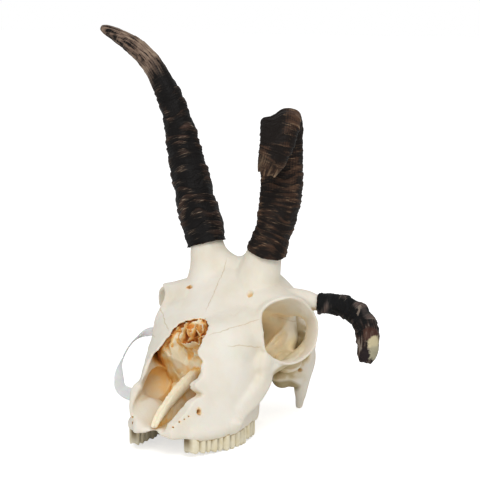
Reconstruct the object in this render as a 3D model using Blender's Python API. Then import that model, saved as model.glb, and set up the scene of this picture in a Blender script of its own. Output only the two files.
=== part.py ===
"""Skull of a three-horned ram, life size, resting on its cheek teeth and paroccipital processes.

Skull measurements are millimetres: x towards the animal's left, y towards the back of the head,
z up from the floor. Every solid is made with its mesh in metres and set over the middle of the floor.
"""
import math

import bmesh
import bpy
from mathutils import Matrix, Vector

MM = 0.001
SIDES = (1, -1)

# Finish of the model
VOXEL = 1.7
BONE_TRIANGLES = 5000
SCROLL_TRIANGLES = 700
CUT_GAP = 0.3
FLOOR = 0.0

# Face and middle of the skull: y, top, shoulder x z, side x z, tooth edge x z, palate z
TRUNK = (
    (-12, 24, 9, 22, 14, 18.5, 15, 13.5, 15.0),
    (-6, 40, 13, 35, 18, 24, 19.5, 13.5, 15.0),
    (0, 50, 15, 44, 21.5, 29, 24, 13, 15.0),
    (8, 60, 17, 53, 25, 34, 29, 12, 16),
    (18, 68, 18, 62, 29, 42, 34, 11, 17),
    (30, 75, 19, 70, 33.5, 50, 37.5, 12, 17),
    (42, 80, 24, 77, 38, 58, 38, 14, 18),
    (54, 83, 30, 82, 40.5, 62, 37, 14, 18),
    (66, 89, 35, 86, 38, 60, 35, 12, 18),
    (76, 95, 32, 87, 32, 57, 29, 14, 20),
    (84, 99, 27, 88, 26, 56, 25, 25, 25),
    (94, 102, 26, 89, 23, 58, 21, 30, 30),
    (104, 104, 26, 90, 24, 62, 18, 34, 34),
    (114, 104, 28, 86, 28, 66, 18, 37, 37),
)

# Frontal roof: y, middle z, half width, edge z, thickness
ROOF = (
    (47, 79, 27, 77, 6),
    (54, 83.5, 40, 80, 8),
    (62, 88.5, 44, 85, 9),
    (70, 95, 47.5, 89, 9),
    (78, 101.5, 51, 91.5, 9),
    (86, 108, 54, 92, 10),
    (94, 113, 57, 90.5, 10),
    (100, 115, 58, 88, 11),
    (107, 115, 50, 87, 12),
    (114, 113, 38, 90, 14),
    (122, 109, 34, 88, 14),
)

# Braincase: y, half width, top z, bottom z
BRAINCASE = (
    (102, 26, 110, 40),
    (110, 31, 112, 37),
    (120, 34.5, 110, 35),
    (130, 35.5, 104, 34),
    (140, 34.5, 96, 34),
    (148, 31, 88, 36),
    (154, 23, 81, 42),
    (157, 10, 74, 54),
)

# Orbit: middle of the rim, its rear and upper half axes, and the deep end of the socket
ORBIT_CENTRE = Vector((54, 79.5, 73.5))
ORBIT_REAR = Vector((9.5, 20, 2))
ORBIT_UP = Vector((-2.5, 3, 21.5))
ORBIT_DEEP = Vector((13, 101, 62))
RIM_THICK = 2.8
RIM_DEEP = 5.0

# Rods of bone: x, y, z, half width across, half height
JUGAL = (
    (36, 33, 24, 4, 5),
    (42, 48, 34, 6, 6.5),
    (44.5, 60, 42, 4.5, 6),
    (52.5, 75, 47, 4, 5.5),
    (56.5, 90, 51, 3.2, 6),
    (55, 103, 55, 3, 5.5),
    (49, 115, 58, 3.2, 4.5),
    (41, 122, 58, 5, 4.5),
    (32, 128, 58, 6, 6),
)
PAROCCIPITAL = (
    (35, 132, 56, 7, 9),
    (36.5, 133, 42, 7, 9),
    (36, 135.5, 30, 5.5, 7.5),
    (32.5, 137, 17, 4, 6.5),
    (29.5, 137.5, 7, 3.2, 4.6),
    (28, 137.5, -3, 2.6, 3.4),
)
BASE_BAR = (
    (0, 92, 38, 9, 6),
    (0, 110, 38, 9, 6),
    (0, 130, 38, 11, 6),
    (0, 146, 40, 14, 7),
)
NUCHAL_CREST = (
    (38, 140, 58, 4, 4),
    (34, 146, 68, 3.5, 3.5),
    (25, 151, 78, 3.5, 3.5),
    (0, 155.5, 84, 4, 4),
    (-25, 151, 78, 3.5, 3.5),
    (-34, 146, 68, 3.5, 3.5),
    (-38, 140, 58, 4, 4),
)
PTERYGOID = (
    (21, 74, 16, 3.5, 5),
    (20, 84, 25, 3, 5),
    (17, 95, 29, 2.6, 5),
    (14, 104, 33, 2.6, 4),
)
# Pedicles that carry the horns, ending beyond the planes where the horns start
PEDICLE = (
    (19, 93, 94, 17, 16),
    (20, 96, 105, 15.5, 15),
    (21.5, 97.5, 114, 13.8, 14),
    (23.5, 98, 124, 12.6, 14),
    (25, 98.5, 131, 12.6, 14),
)
SIDE_PEDICLE = (
    (42, 98, 90, 9, 9),
    (52, 104, 89.5, 7.5, 7.5),
    (60, 107.5, 88, 6, 6),
    (68, 109.5, 87, 5.5, 5.5),
)

# Rounded masses: middle and half sizes
CHEEK_FLOOR = ((45, 69, 46), (12, 15, 6.5))
GLENOID = ((40, 121, 53), (9.5, 8, 6))
MASTOID = ((37, 134, 52), (6, 8, 13))
CONDYLE = ((15, 151, 38), (9, 7.5, 10))
OCCIPUT = ((0, 149, 46), (24, 7, 14))
BULLA = ((24, 121, 29), (7.5, 12.5, 9))
FORAMEN_MAGNUM = ((0, 156, 46), (9.5, 14, 9))

# Nasal opening seen from the side, from the palate up to the roof: y, z
NASAL_MARGIN = (
    (-14, 18),
    (-10, 22),
    (0, 31),
    (8, 41),
    (15, 49),
    (20, 57),
    (27, 66),
    (36, 73.5),
    (43, 78.5),
    (52, 84),
)
WALL = 2.8
CAVITY_FRONT = -22
CAVITY_START = -6.5
CAVITY_BACK = 66
NASAL_FLOOR = 4.5

# Arch of the palate: y, half width; its height is one value
PALATE_ARCH = ((-24, 12), (0, 15.5), (20, 20), (40, 23), (60, 22), (84, 15))
PALATE_HEIGHT = 17.5
CHOANA = ((0, 92, 24), (10.5, 20, 12))

# Cheek teeth: first and last y, outer x, width, tip z
TEETH = (
    (-4, 4, 25, 8.5, 3.2),
    (4, 13, 29, 9.5, 2.0),
    (13, 22.5, 33, 11, 1.0),
    (22.5, 34, 37, 13, -1.2),
    (34, 49, 38, 13.5, -1.2),
    (49, 66, 35.5, 12.5, 1.2),
)
GUM = 16.0

# Horns: x, y, z, half width across the view, half width along it
HORN_RIGHT = (
    (-22.5, 97, 119, 13.8, 14.5),
    (-25, 98, 124.3, 14.5, 14.5),
    (-32, 103, 138.4, 14.8, 14.5),
    (-38.4, 108, 152.2, 14, 14),
    (-44.3, 112, 166.2, 13.6, 13.4),
    (-50.5, 116, 180.2, 12.8, 12.6),
    (-56.2, 119, 194.4, 11.7, 11.6),
    (-61.4, 121, 208.6, 10.5, 10.6),
    (-67.7, 122.5, 222.6, 9.2, 9.6),
    (-75.5, 123, 235.8, 8.1, 8.8),
    (-84.3, 122.5, 248.6, 7.5, 8),
    (-95.6, 121, 259.2, 7, 6.8),
    (-108.9, 119, 267.4, 5.6, 5.2),
    (-119, 117.5, 272, 3.9, 3.6),
    (-123, 117, 273.6, 2, 2),
)
HORN_LEFT = (
    (24, 98, 119, 11.6, 14),
    (25, 98.5, 124.3, 11.6, 14),
    (27, 101.5, 136, 12, 13.5),
    (30, 105.5, 150, 14, 13),
    (30, 109, 162, 14.6, 12),
    (28.5, 112, 174, 14.5, 11),
    (28, 114, 187, 14.4, 10),
    (28, 114.5, 200, 14, 9),
    (30.5, 109.5, 210.5, 13.8, 8),
    (35, 100, 214, 13.6, 7.4),
    (40, 90, 211.5, 13.6, 7.2),
    (42.5, 84, 203, 13, 7.2),
    (43, 81.5, 192, 10.6, 6.4),
    (42, 80.5, 184, 7.6, 5.2),
    (41, 80, 179, 4.4, 4),
)
HORN_SIDE = (
    (56, 106, 88, 6.8, 6.8),
    (60.5, 107.5, 88, 6.8, 6.8),
    (68, 109.5, 88, 7.2, 7.2),
    (77, 110, 87.5, 7.6, 7.8),
    (86, 108.5, 84.5, 7.8, 8),
    (95, 104.5, 80, 8, 8.2),
    (101.5, 99.5, 73, 8, 8.2),
    (104.5, 94.5, 65.5, 7.4, 7.6),
    (105, 91, 59, 6.4, 6.4),
    (104.5, 89.5, 54.5, 4.2, 4.2),
)
# Direction of the horn at its base, where the pedicle is cut flat
HORN_SEATS = (
    ((25, 98, 122.8), (0.30, -0.08, 0.95)),
    ((-25, 98, 124.3), (-0.28, 0.06, 0.96)),
    ((60.5, 107.5, 88), (0.97, 0.24, -0.02)),
)
SEAT_SIZE = 44
ACROSS_VIEW = (0.87, 0.5, 0)

# Scrolls and vomer inside the nose: x, y, z, half width across, half height
VOMER = (
    (0, 3, 24.5, 1.6, 3),
    (0, 17, 29.5, 1.8, 6.5),
    (0, 30, 33, 2, 9),
    (0, 46, 36, 2.4, 11.5),
    (0, 57, 38, 3, 12),
)
SCROLLS = (
    ((8, 44, 61), (5, 12, 6)),
    ((7, 50, 71), (5, 9, 5)),
    ((15, 43, 51), (5, 13, 6)),
    ((8, 46, 44), (9, 9, 5)),
    ((0, 51, 58), (14, 8, 14)),
)

# White plastic band looped round the lower edge of the right orbit: x, y, z
BAND_LOOP = (
    (-59, 81, 61),
    (-72, 78, 53),
    (-82.5, 77, 41),
    (-87, 77, 27),
    (-86.5, 78, 14.5),
    (-79, 80, 9.5),
    (-68, 83, 11.5),
    (-55, 89, 20),
    (-46, 94, 34),
    (-45, 94, 50),
    (-50, 89, 59),
)
BAND_WIDTH = 6.5
BAND_THICK = 1.2

# Planes that part the bones, each through two points seen from the side: y, z
FRONTAL_SUTURE = ((50, 79), (100, 75))
CORONAL_SUTURE = ((95, 30), (118, 120))
BLOCK = 400

# Colours: red, green, blue, then roughness
FINISH = {
    "frontal": (0.85, 0.79, 0.66, 0.55),
    "maxilla_left": (0.84, 0.78, 0.64, 0.55),
    "maxilla_right": (0.84, 0.78, 0.64, 0.55),
    "braincase": (0.80, 0.73, 0.58, 0.6),
    "turbinates": (0.70, 0.48, 0.26, 0.65),
    "horn_upper_left": (0.085, 0.050, 0.032, 0.5),
    "horn_upper_right": (0.045, 0.032, 0.026, 0.5),
    "horn_side_left": (0.040, 0.030, 0.026, 0.5),
    "tag_band": (0.78, 0.82, 0.86, 0.3),
}


def clear_scene():
    """Empty the scene."""
    for ob in list(bpy.data.objects):
        bpy.data.objects.remove(ob, do_unlink=True)


def make_material(name, values):
    """A Principled material from red, green, blue and roughness."""
    material = bpy.data.materials.new(name)
    material.use_nodes = True
    shader = material.node_tree.nodes["Principled BSDF"]
    shader.inputs["Base Color"].default_value = (*values[:3], 1.0)
    shader.inputs["Roughness"].default_value = values[3]
    shader.inputs["Metallic"].default_value = 0.0
    return material


def spline_rows(rows, steps, closed=False):
    """Catmull-Rom curve through rows of numbers, with the given steps between neighbours."""
    count = len(rows)
    spans = count if closed else count - 1
    result = []
    for i in range(spans):
        if closed:
            four = [rows[(i + k) % count] for k in (-1, 0, 1, 2)]
        else:
            four = [rows[min(max(i + k, 0), count - 1)] for k in (-1, 0, 1, 2)]
        for j in range(steps):
            t = j / steps
            weights = (
                (-t + 2 * t * t - t ** 3) / 2,
                (2 - 5 * t * t + 3 * t ** 3) / 2,
                (t + 4 * t * t - 3 * t ** 3) / 2,
                (-t * t + t ** 3) / 2,
            )
            columns = range(len(rows[0]))
            result.append([sum(w * row[k] for w, row in zip(weights, four)) for k in columns])
    if not closed:
        result.append(list(rows[-1]))
    return result


def mesh_from_rings(name, rings, closed=False):
    """Skin rings of equal length into one closed body; open ends get flat caps."""
    bm = bmesh.new()
    loops = [[bm.verts.new(Vector(p) * MM) for p in ring] for ring in rings]
    spans = len(loops) if closed else len(loops) - 1
    for i in range(spans):
        low = loops[i]
        high = loops[(i + 1) % len(loops)]
        for j in range(len(low)):
            k = (j + 1) % len(low)
            bm.faces.new((low[j], low[k], high[k], high[j]))
    if not closed:
        bm.faces.new(loops[0])
        bm.faces.new(loops[-1])
    bmesh.ops.recalc_face_normals(bm, faces=bm.faces)
    mesh = bpy.data.meshes.new(name)
    bm.to_mesh(mesh)
    bm.free()
    ob = bpy.data.objects.new(name, mesh)
    bpy.context.scene.collection.objects.link(ob)
    return ob


def tube(name, rows, steps=3, sides=14, across=(1, 0, 0), closed=False):
    """Sweep an oval along rows of x, y, z, half width and half height."""
    rows = spline_rows(rows, steps, closed)
    centres = [Vector(row[:3]) for row in rows]
    rings = []
    for i, row in enumerate(rows):
        if closed:
            ahead = centres[(i + 1) % len(rows)] - centres[i - 1]
        else:
            ahead = centres[min(i + 1, len(rows) - 1)] - centres[max(i - 1, 0)]
        ahead.normalize()
        side = Vector(across) - ahead * ahead.dot(Vector(across))
        side.normalize()
        up = ahead.cross(side)
        ring = []
        for j in range(sides):
            angle = 2 * math.pi * j / sides
            ring.append(centres[i] + side * row[3] * math.cos(angle) + up * row[4] * math.sin(angle))
        rings.append(ring)
    return mesh_from_rings(name, rings, closed)


def ball(name, centre, radii):
    """An ellipsoid."""
    bm = bmesh.new()
    bmesh.ops.create_uvsphere(bm, u_segments=20, v_segments=12, radius=1.0)
    place = Matrix.Translation(Vector(centre) * MM) @ Matrix.Diagonal((*[r * MM for r in radii], 1.0))
    bmesh.ops.transform(bm, matrix=place, verts=bm.verts)
    mesh = bpy.data.meshes.new(name)
    bm.to_mesh(mesh)
    bm.free()
    ob = bpy.data.objects.new(name, mesh)
    bpy.context.scene.collection.objects.link(ob)
    return ob


def mirrored(rows, side):
    """The same rows on the left (1) or right (-1)."""
    return [(row[0] * side, *row[1:]) for row in rows]


def pair_of_balls(name, shape):
    """The same ellipsoid on both sides."""
    centre, radii = shape
    return [ball(name, (centre[0] * side, centre[1], centre[2]), radii) for side in SIDES]


def join(name, pieces):
    """Put the meshes of several objects into one object."""
    bm = bmesh.new()
    for piece in pieces:
        bm.from_mesh(piece.data)
    mesh = bpy.data.meshes.new(name)
    bm.to_mesh(mesh)
    bm.free()
    for piece in pieces:
        bpy.data.objects.remove(piece, do_unlink=True)
    ob = bpy.data.objects.new(name, mesh)
    bpy.context.scene.collection.objects.link(ob)
    return ob


def bake(ob):
    """Replace an object's mesh by the result of its modifiers."""
    depsgraph = bpy.context.evaluated_depsgraph_get()
    mesh = bpy.data.meshes.new_from_object(ob.evaluated_get(depsgraph))
    ob.modifiers.clear()
    ob.data = mesh


def fuse(ob, voxel, smoothing):
    """Melt overlapping bodies into one skin and soften it."""
    remesh = ob.modifiers.new("Fuse", "REMESH")
    remesh.mode = "VOXEL"
    remesh.voxel_size = voxel * MM
    soften = ob.modifiers.new("Soften", "SMOOTH")
    soften.factor = 0.5
    soften.iterations = smoothing
    bake(ob)


def cut(ob, cutter):
    """Take the cutter's space out of the object."""
    cutter.hide_render = True
    cutter.display_type = "WIRE"
    modifier = ob.modifiers.new("Cut", "BOOLEAN")
    modifier.operation = "DIFFERENCE"
    modifier.solver = "EXACT"
    modifier.object = cutter
    bake(ob)
    bpy.data.objects.remove(cutter, do_unlink=True)


def thin_out(ob, triangles):
    """Bring the mesh down to about the wanted number of triangles."""
    count = sum(len(face.vertices) - 2 for face in ob.data.polygons)
    modifier = ob.modifiers.new("Decimate", "DECIMATE")
    modifier.ratio = min(1.0, triangles / count)
    modifier.use_collapse_triangulate = True
    bake(ob)


def trunk_ring(row, inset=0.0, points=4):
    """Cross-section of face and skull middle, drawn down the left side and up the right."""
    y, top, shoulder_x, shoulder_z, side_x, side_z, low_x, low_z, palate = row
    half = (
        (0, top - inset),
        (shoulder_x - inset * 0.7, shoulder_z - inset * 0.7),
        (side_x - inset, side_z),
        (low_x - inset, low_z + inset * NASAL_FLOOR / WALL),
        (low_x * 0.55, palate + inset * NASAL_FLOOR / WALL),
        (0, palate + inset * NASAL_FLOOR / WALL),
    )
    left = spline_rows(half, points)
    right = [(-x, z) for x, z in reversed(left[1:-1])]
    return [(x, y, z) for x, z in left + right]


def trunk():
    """Outer body of the face and the bone between the orbits."""
    return mesh_from_rings("trunk", [trunk_ring(row) for row in spline_rows(TRUNK, 3)])


def nasal_cavity():
    """The hollow of the nose, one wall thickness inside the trunk."""
    rows = [row for row in spline_rows(TRUNK, 3) if CAVITY_START <= row[0] <= CAVITY_BACK]
    first = (CAVITY_FRONT, *rows[0][1:])
    return mesh_from_rings("nasal_cavity", [trunk_ring(row, WALL) for row in [first] + rows])


def roof():
    """The frontal shelf from the nose to behind the horns, out to the upper rims of the orbits."""
    rings = []
    for y, middle, half, edge, thick in spline_rows(ROOF, 3):
        top = spline_rows(((0, middle), (half * 0.45, middle * 0.55 + edge * 0.45), (half, edge)), 4)
        under = [(x * 0.93, z - thick) for x, z in reversed(top)]
        left = top + under
        right = [(-x, z) for x, z in reversed(left[1:-1])]
        rings.append([(x, y, z) for x, z in left + right])
    return mesh_from_rings("roof", rings)


def braincase():
    """The rounded box behind the orbits."""
    rings = []
    for y, half, top, bottom in spline_rows(BRAINCASE, 3):
        middle = (top + bottom) / 2
        height = (top - bottom) / 2
        ring = []
        for j in range(28):
            angle = 2 * math.pi * j / 28
            c = math.cos(angle)
            s = math.sin(angle)
            x = math.copysign(abs(c) ** 0.9, c) * half
            z = math.copysign(abs(s) ** 0.9, s) * height
            ring.append((x, y, middle + z))
        rings.append(ring)
    return mesh_from_rings("braincase", rings)


def orbit_ring_points(side, scale, count):
    """Points of the rim's ellipse, scaled about its middle."""
    flip = Matrix.Diagonal((side, 1, 1))
    points = []
    for j in range(count):
        angle = 2 * math.pi * j / count
        point = ORBIT_CENTRE + scale * (ORBIT_REAR * math.cos(angle) + ORBIT_UP * math.sin(angle))
        points.append(flip @ point)
    return points


def orbit_rim(side):
    """The raised ring of bone round one eye socket, broad towards the brain."""
    inward = ORBIT_DEEP - ORBIT_CENTRE
    inward.x *= side
    inward.normalize()
    centre = Vector((ORBIT_CENTRE.x * side, ORBIT_CENTRE.y, ORBIT_CENTRE.z))
    rings = []
    for point in orbit_ring_points(side, 1.0, 36):
        outward = (point - centre).normalized()
        middle = point + inward * RIM_DEEP * 0.6
        ring = []
        for j in range(10):
            angle = 2 * math.pi * j / 10
            ring.append(middle + outward * RIM_THICK * math.cos(angle) + inward * RIM_DEEP * math.sin(angle))
        rings.append(ring)
    return mesh_from_rings("rim", rings, closed=True)


def orbit_socket(side):
    """The space of one eye socket, narrowing from the rim to the optic hole."""
    centre = Vector((ORBIT_CENTRE.x * side, ORBIT_CENTRE.y, ORBIT_CENTRE.z))
    deep = Vector((ORBIT_DEEP.x * side, ORBIT_DEEP.y, ORBIT_DEEP.z))
    rings = []
    for along, scale in ((-0.25, 1.02), (0, 0.9), (0.3, 0.84), (0.55, 0.66), (0.8, 0.4), (1.0, 0.16)):
        shift = (deep - centre) * along
        rings.append([point + shift for point in orbit_ring_points(side, scale, 28)])
    return mesh_from_rings("socket", rings)


def nasal_window():
    """Everything in front of and above the edge of the nasal opening, which the missing bones held."""
    edge = spline_rows(NASAL_MARGIN, 3)
    profile = edge + [(54, 130), (-60, 130), (-60, 12)]
    rings = [[(x, y, z) for y, z in profile] for x in (-60, 60)]
    return mesh_from_rings("nasal_window", rings)


def palate_arch():
    """The vault between the tooth rows."""
    rings = []
    for y, half in spline_rows(PALATE_ARCH, 4):
        ring = []
        for j in range(20):
            angle = 2 * math.pi * j / 20
            ring.append((half * math.cos(angle), y, PALATE_HEIGHT * math.sin(angle)))
        rings.append(ring)
    return mesh_from_rings("palate_arch", rings)


def tooth(side, first, last, outer, width, tip):
    """One cheek tooth: a rounded block with two columns on its outer face."""
    length = last - first
    middle = (first + last) / 2
    ring = []
    for j in range(20):
        angle = 2 * math.pi * j / 20
        c = math.cos(angle)
        s = math.sin(angle)
        y = middle + math.copysign(abs(c) ** 0.6, c) * length * 0.48
        groove = 0.9 * math.cos(2 * math.pi * (y - first) / length) if s > 0 else 0.0
        x = outer - width / 2 + math.copysign(abs(s) ** 0.6, s) * width / 2 + groove
        ring.append((x, y))
    rings = []
    for z, spread in ((GUM, 0.9), (GUM * 0.5, 1.0), (tip, 0.97)):
        rings.append([(side * ((x - outer) * spread + outer), y, z) for x, y in ring])
    return mesh_from_rings("tooth", rings)


def skull_bone():
    """All bone in one skin, with its openings cut."""
    pieces = [trunk(), roof(), braincase(), ball("occiput", *OCCIPUT)]
    pieces.append(tube("base", BASE_BAR))
    pieces.append(tube("crest", NUCHAL_CREST, across=(0, 1, 0)))
    for shape in (CHEEK_FLOOR, GLENOID, MASTOID, CONDYLE, BULLA):
        pieces += pair_of_balls("mass", shape)
    for side in SIDES:
        pieces.append(orbit_rim(side))
        pieces.append(tube("jugal", mirrored(JUGAL, side)))
        pieces.append(tube("process", mirrored(PAROCCIPITAL, side)))
        pieces.append(tube("pterygoid", mirrored(PTERYGOID, side)))
        pieces.append(tube("pedicle", mirrored(PEDICLE, side), sides=20))
    pieces.append(tube("side_pedicle", SIDE_PEDICLE, across=(0, 1, 0)))
    bone = join("bone", pieces)
    fuse(bone, VOXEL, 6)
    for side in SIDES:
        cut(bone, orbit_socket(side))
    cut(bone, nasal_cavity())
    cut(bone, nasal_window())
    cut(bone, palate_arch())
    cut(bone, ball("choana", *CHOANA))
    cut(bone, ball("foramen_magnum", *FORAMEN_MAGNUM))
    teeth = [tooth(side, *row) for side in SIDES for row in TEETH]
    bone = join("bone", [bone] + teeth)
    fuse(bone, VOXEL * 0.85, 2)
    thin_out(bone, BONE_TRIANGLES)
    for centre, direction in HORN_SEATS:
        cut(bone, block("seat", centre, direction, SEAT_SIZE))
    cut(bone, block("floor", (0, 0, FLOOR), (0, 0, -1), BLOCK))
    return bone


def block(name, centre, direction, size):
    """A square block that stands on the plane through a point, on the side the direction points to."""
    bm = bmesh.new()
    bmesh.ops.create_cube(bm, size=size * MM)
    turn = Vector((0, 0, 1)).rotation_difference(Vector(direction)).to_matrix().to_4x4()
    lift = Matrix.Translation((0, 0, size * MM / 2))
    bmesh.ops.transform(bm, matrix=Matrix.Translation(Vector(centre) * MM) @ turn @ lift, verts=bm.verts)
    mesh = bpy.data.meshes.new(name)
    bm.to_mesh(mesh)
    bm.free()
    ob = bpy.data.objects.new(name, mesh)
    bpy.context.scene.collection.objects.link(ob)
    return ob


def suture_sides(points):
    """A point on the plane seen edge-on from the side, and the plane's direction to the rear or top."""
    (y0, z0), (y1, z1) = points
    direction = Vector((0, -(z1 - z0), y1 - y0)).normalized()
    return Vector((0, (y0 + y1) / 2, (z0 + z1) / 2)), direction


def copy_of(ob, name):
    """A separate copy of an object."""
    twin = bpy.data.objects.new(name, ob.data.copy())
    bpy.context.scene.collection.objects.link(twin)
    return twin


def part_bones(bone):
    """Divide the skin of bone along thin cuts into four named parts."""
    frontal_point, up = suture_sides(FRONTAL_SUTURE)
    coronal_point, forward = suture_sides(CORONAL_SUTURE)
    half = CUT_GAP / 2
    above = (frontal_point - up * half, up)
    below = (frontal_point + up * half, -up)
    behind = (coronal_point + forward * half, -forward)
    before = (coronal_point - forward * half, forward)
    left = ((-half, 0, 0), (1, 0, 0))
    right = ((half, 0, 0), (-1, 0, 0))
    cuts = (
        ("frontal", (below, behind)),
        ("maxilla_left", (above, behind, right)),
        ("maxilla_right", (above, behind, left)),
        ("braincase", (before,)),
    )
    parts = []
    for name, planes in cuts:
        part = copy_of(bone, name)
        for centre, direction in planes:
            cut(part, block("plane", centre, direction, BLOCK))
        parts.append(part)
    bpy.data.objects.remove(bone, do_unlink=True)
    return parts


def nose_inside():
    """Vomer and the broken scrolls of the nose in one piece, clear of the walls."""
    pieces = [tube("vomer", VOMER)]
    for centre, radii in SCROLLS:
        for side in SIDES:
            pieces.append(ball("scroll", (centre[0] * side, centre[1], centre[2]), radii))
    inside = join("turbinates", pieces)
    fuse(inside, VOXEL, 1)
    thin_out(inside, SCROLL_TRIANGLES)
    return inside


def band_loop():
    """The plastic band, a closed flat strip."""
    rows = spline_rows(BAND_LOOP, 4, closed=True)
    centres = [Vector(row) for row in rows]
    rings = []
    for i, centre in enumerate(centres):
        ahead = (centres[(i + 1) % len(centres)] - centres[i - 1]).normalized()
        flat = Vector((0, 1, 0)) - ahead * ahead.y
        flat.normalize()
        thick = ahead.cross(flat)
        corners = ((-1, -1), (1, -1), (1, 1), (-1, 1))
        rings.append([centre + flat * a * BAND_WIDTH / 2 + thick * b * BAND_THICK / 2 for a, b in corners])
    return mesh_from_rings("tag_band", rings, closed=True)


def horn(name, rows, across, seat):
    """One horn sheath, cut flat where it meets its pedicle."""
    sheath = tube(name, rows, steps=2, sides=14, across=across)
    centre, direction = seat
    gap = Vector(direction).normalized() * CUT_GAP
    cut(sheath, block("plane", Vector(centre) + gap, -Vector(direction), BLOCK))
    return sheath


def centre_over_floor(parts):
    """Move every mesh so that the middle of the whole, seen from above, is the origin."""
    corners = [vertex.co for part in parts for vertex in part.data.vertices]
    middle_x = (min(co.x for co in corners) + max(co.x for co in corners)) / 2
    middle_y = (min(co.y for co in corners) + max(co.y for co in corners)) / 2
    for part in parts:
        part.data.transform(Matrix.Translation((-middle_x, -middle_y, 0)))
    print("origin in skull measurements, mm:", round(middle_x / MM, 3), round(middle_y / MM, 3))


def main():
    clear_scene()
    parts = part_bones(skull_bone())
    parts.append(nose_inside())
    parts.append(horn("horn_upper_left", HORN_LEFT, ACROSS_VIEW, HORN_SEATS[0]))
    parts.append(horn("horn_upper_right", HORN_RIGHT, ACROSS_VIEW, HORN_SEATS[1]))
    parts.append(horn("horn_side_left", HORN_SIDE, (0, 1, 0.2), HORN_SEATS[2]))
    parts.append(band_loop())
    for part in parts:
        part.data.materials.clear()
        part.data.materials.append(make_material(part.name, FINISH[part.name]))
        part.data.shade_smooth()
    centre_over_floor(parts)


main()
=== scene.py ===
# %% [markdown]
# # A three-horned ram's skull
#
# This lesson builds the looks of a museum skull: pale bone, cheek teeth, three dark horn sheaths
# and the white plastic band that hangs through one eye socket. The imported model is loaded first,
# because it fixes where every piece belongs. Everything is measured in millimetres on the skull
# itself: x to the animal's left, y to the rear, z up from the floor, with the origin between the
# first cheek teeth. A finished piece is moved to the model's frame in one step at the end.

import math

import bmesh
import bpy
import numpy as np
from mathutils import Matrix, Vector, noise
from mathutils.bvhtree import BVHTree
from mathutils.kdtree import KDTree


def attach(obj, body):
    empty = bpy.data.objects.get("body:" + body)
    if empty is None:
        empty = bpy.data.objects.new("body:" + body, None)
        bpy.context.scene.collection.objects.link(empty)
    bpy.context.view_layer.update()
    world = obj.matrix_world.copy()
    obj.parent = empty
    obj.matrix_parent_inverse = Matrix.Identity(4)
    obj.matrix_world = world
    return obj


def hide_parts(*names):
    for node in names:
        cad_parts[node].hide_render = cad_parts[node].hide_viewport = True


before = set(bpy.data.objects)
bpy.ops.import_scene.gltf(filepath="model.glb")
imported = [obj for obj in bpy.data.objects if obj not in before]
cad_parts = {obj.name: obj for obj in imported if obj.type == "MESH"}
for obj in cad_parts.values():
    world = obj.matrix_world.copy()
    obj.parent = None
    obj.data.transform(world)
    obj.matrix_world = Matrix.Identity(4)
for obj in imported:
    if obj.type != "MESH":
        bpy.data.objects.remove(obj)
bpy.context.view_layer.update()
print("nodes:", sorted(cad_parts))

# %% From skull measurements to the model's frame
MM = 0.001
SKULL_ORIGIN = Vector((5.886, -73.471, 0.0))
TO_FRAME = Matrix.Scale(MM, 4) @ Matrix.Translation(SKULL_ORIGIN)
SIDES = (1, -1)
print("the skull's origin in the frame, mm:", tuple(SKULL_ORIGIN))

# %% [markdown]
# ## The workbench
#
# Bone and horn have no straight edges, so nearly every shape here is a flat grid that is bent
# over a formula and welded where its sides meet. The grid is a bmesh operator, numpy works out
# where its corners go, and both sides of a tube are then one seam that a weld closes.

# %% Reading and writing a mesh
WELD = 0.002


def object_from(bm, name):
    """A new object that holds the bmesh."""
    mesh = bpy.data.meshes.new(name)
    bm.to_mesh(mesh)
    bm.free()
    ob = bpy.data.objects.new(name, mesh)
    bpy.context.scene.collection.objects.link(ob)
    return ob


def points_of(ob):
    """The corners of an object's mesh, one row each."""
    flat = np.empty(len(ob.data.vertices) * 3)
    ob.data.vertices.foreach_get("co", flat)
    return flat.reshape(-1, 3)


def normals_of(ob):
    """The outward direction at each corner."""
    flat = np.empty(len(ob.data.vertices) * 3)
    ob.data.vertex_normals.foreach_get("vector", flat)
    return flat.reshape(-1, 3)


def move_points(ob, points):
    """Put the corners of an object's mesh at new places."""
    ob.data.vertices.foreach_set("co", points.ravel())
    ob.data.update()


def settle(ob):
    """Replace an object's mesh by the result of its modifiers."""
    graph = bpy.context.evaluated_depsgraph_get()
    mesh = bpy.data.meshes.new_from_object(ob.evaluated_get(graph))
    ob.modifiers.clear()
    ob.data = mesh
    return ob


def triangles(ob):
    """How many triangles the mesh has."""
    return sum(len(face.vertices) - 2 for face in ob.data.polygons)


# %% A smooth curve through rows of numbers
CURVE_STEPS = 24


def smooth_rows(rows, count, closed=False, measured=3):
    """Join rows by a smooth curve and read it off at even steps along its first columns."""
    rows = np.array(rows, float)
    if closed:
        padded = np.vstack([rows[-1:], rows, rows[:2]])
    else:
        padded = np.vstack([rows[:1], rows, rows[-1:]])
    before, start, end, after = (padded[k:len(padded) - 3 + k, None] for k in range(4))
    t = np.linspace(0, 1, CURVE_STEPS, endpoint=False)[None, :, None]
    cubic = 3 * (start - end) + after - before
    square = 2 * before - 5 * start + 4 * end - after
    fine = start + 0.5 * t * (end - before + t * (square + t * cubic))
    fine = np.vstack([fine.reshape(-1, rows.shape[1]), padded[-2]])
    steps = np.linalg.norm(np.diff(fine[:, :measured], axis=0), axis=1)
    way = np.concatenate([[0], np.cumsum(steps)])
    marks = np.linspace(0, way[-1], count)
    return np.stack([np.interp(marks, way, column) for column in fine.T], axis=1)


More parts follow.
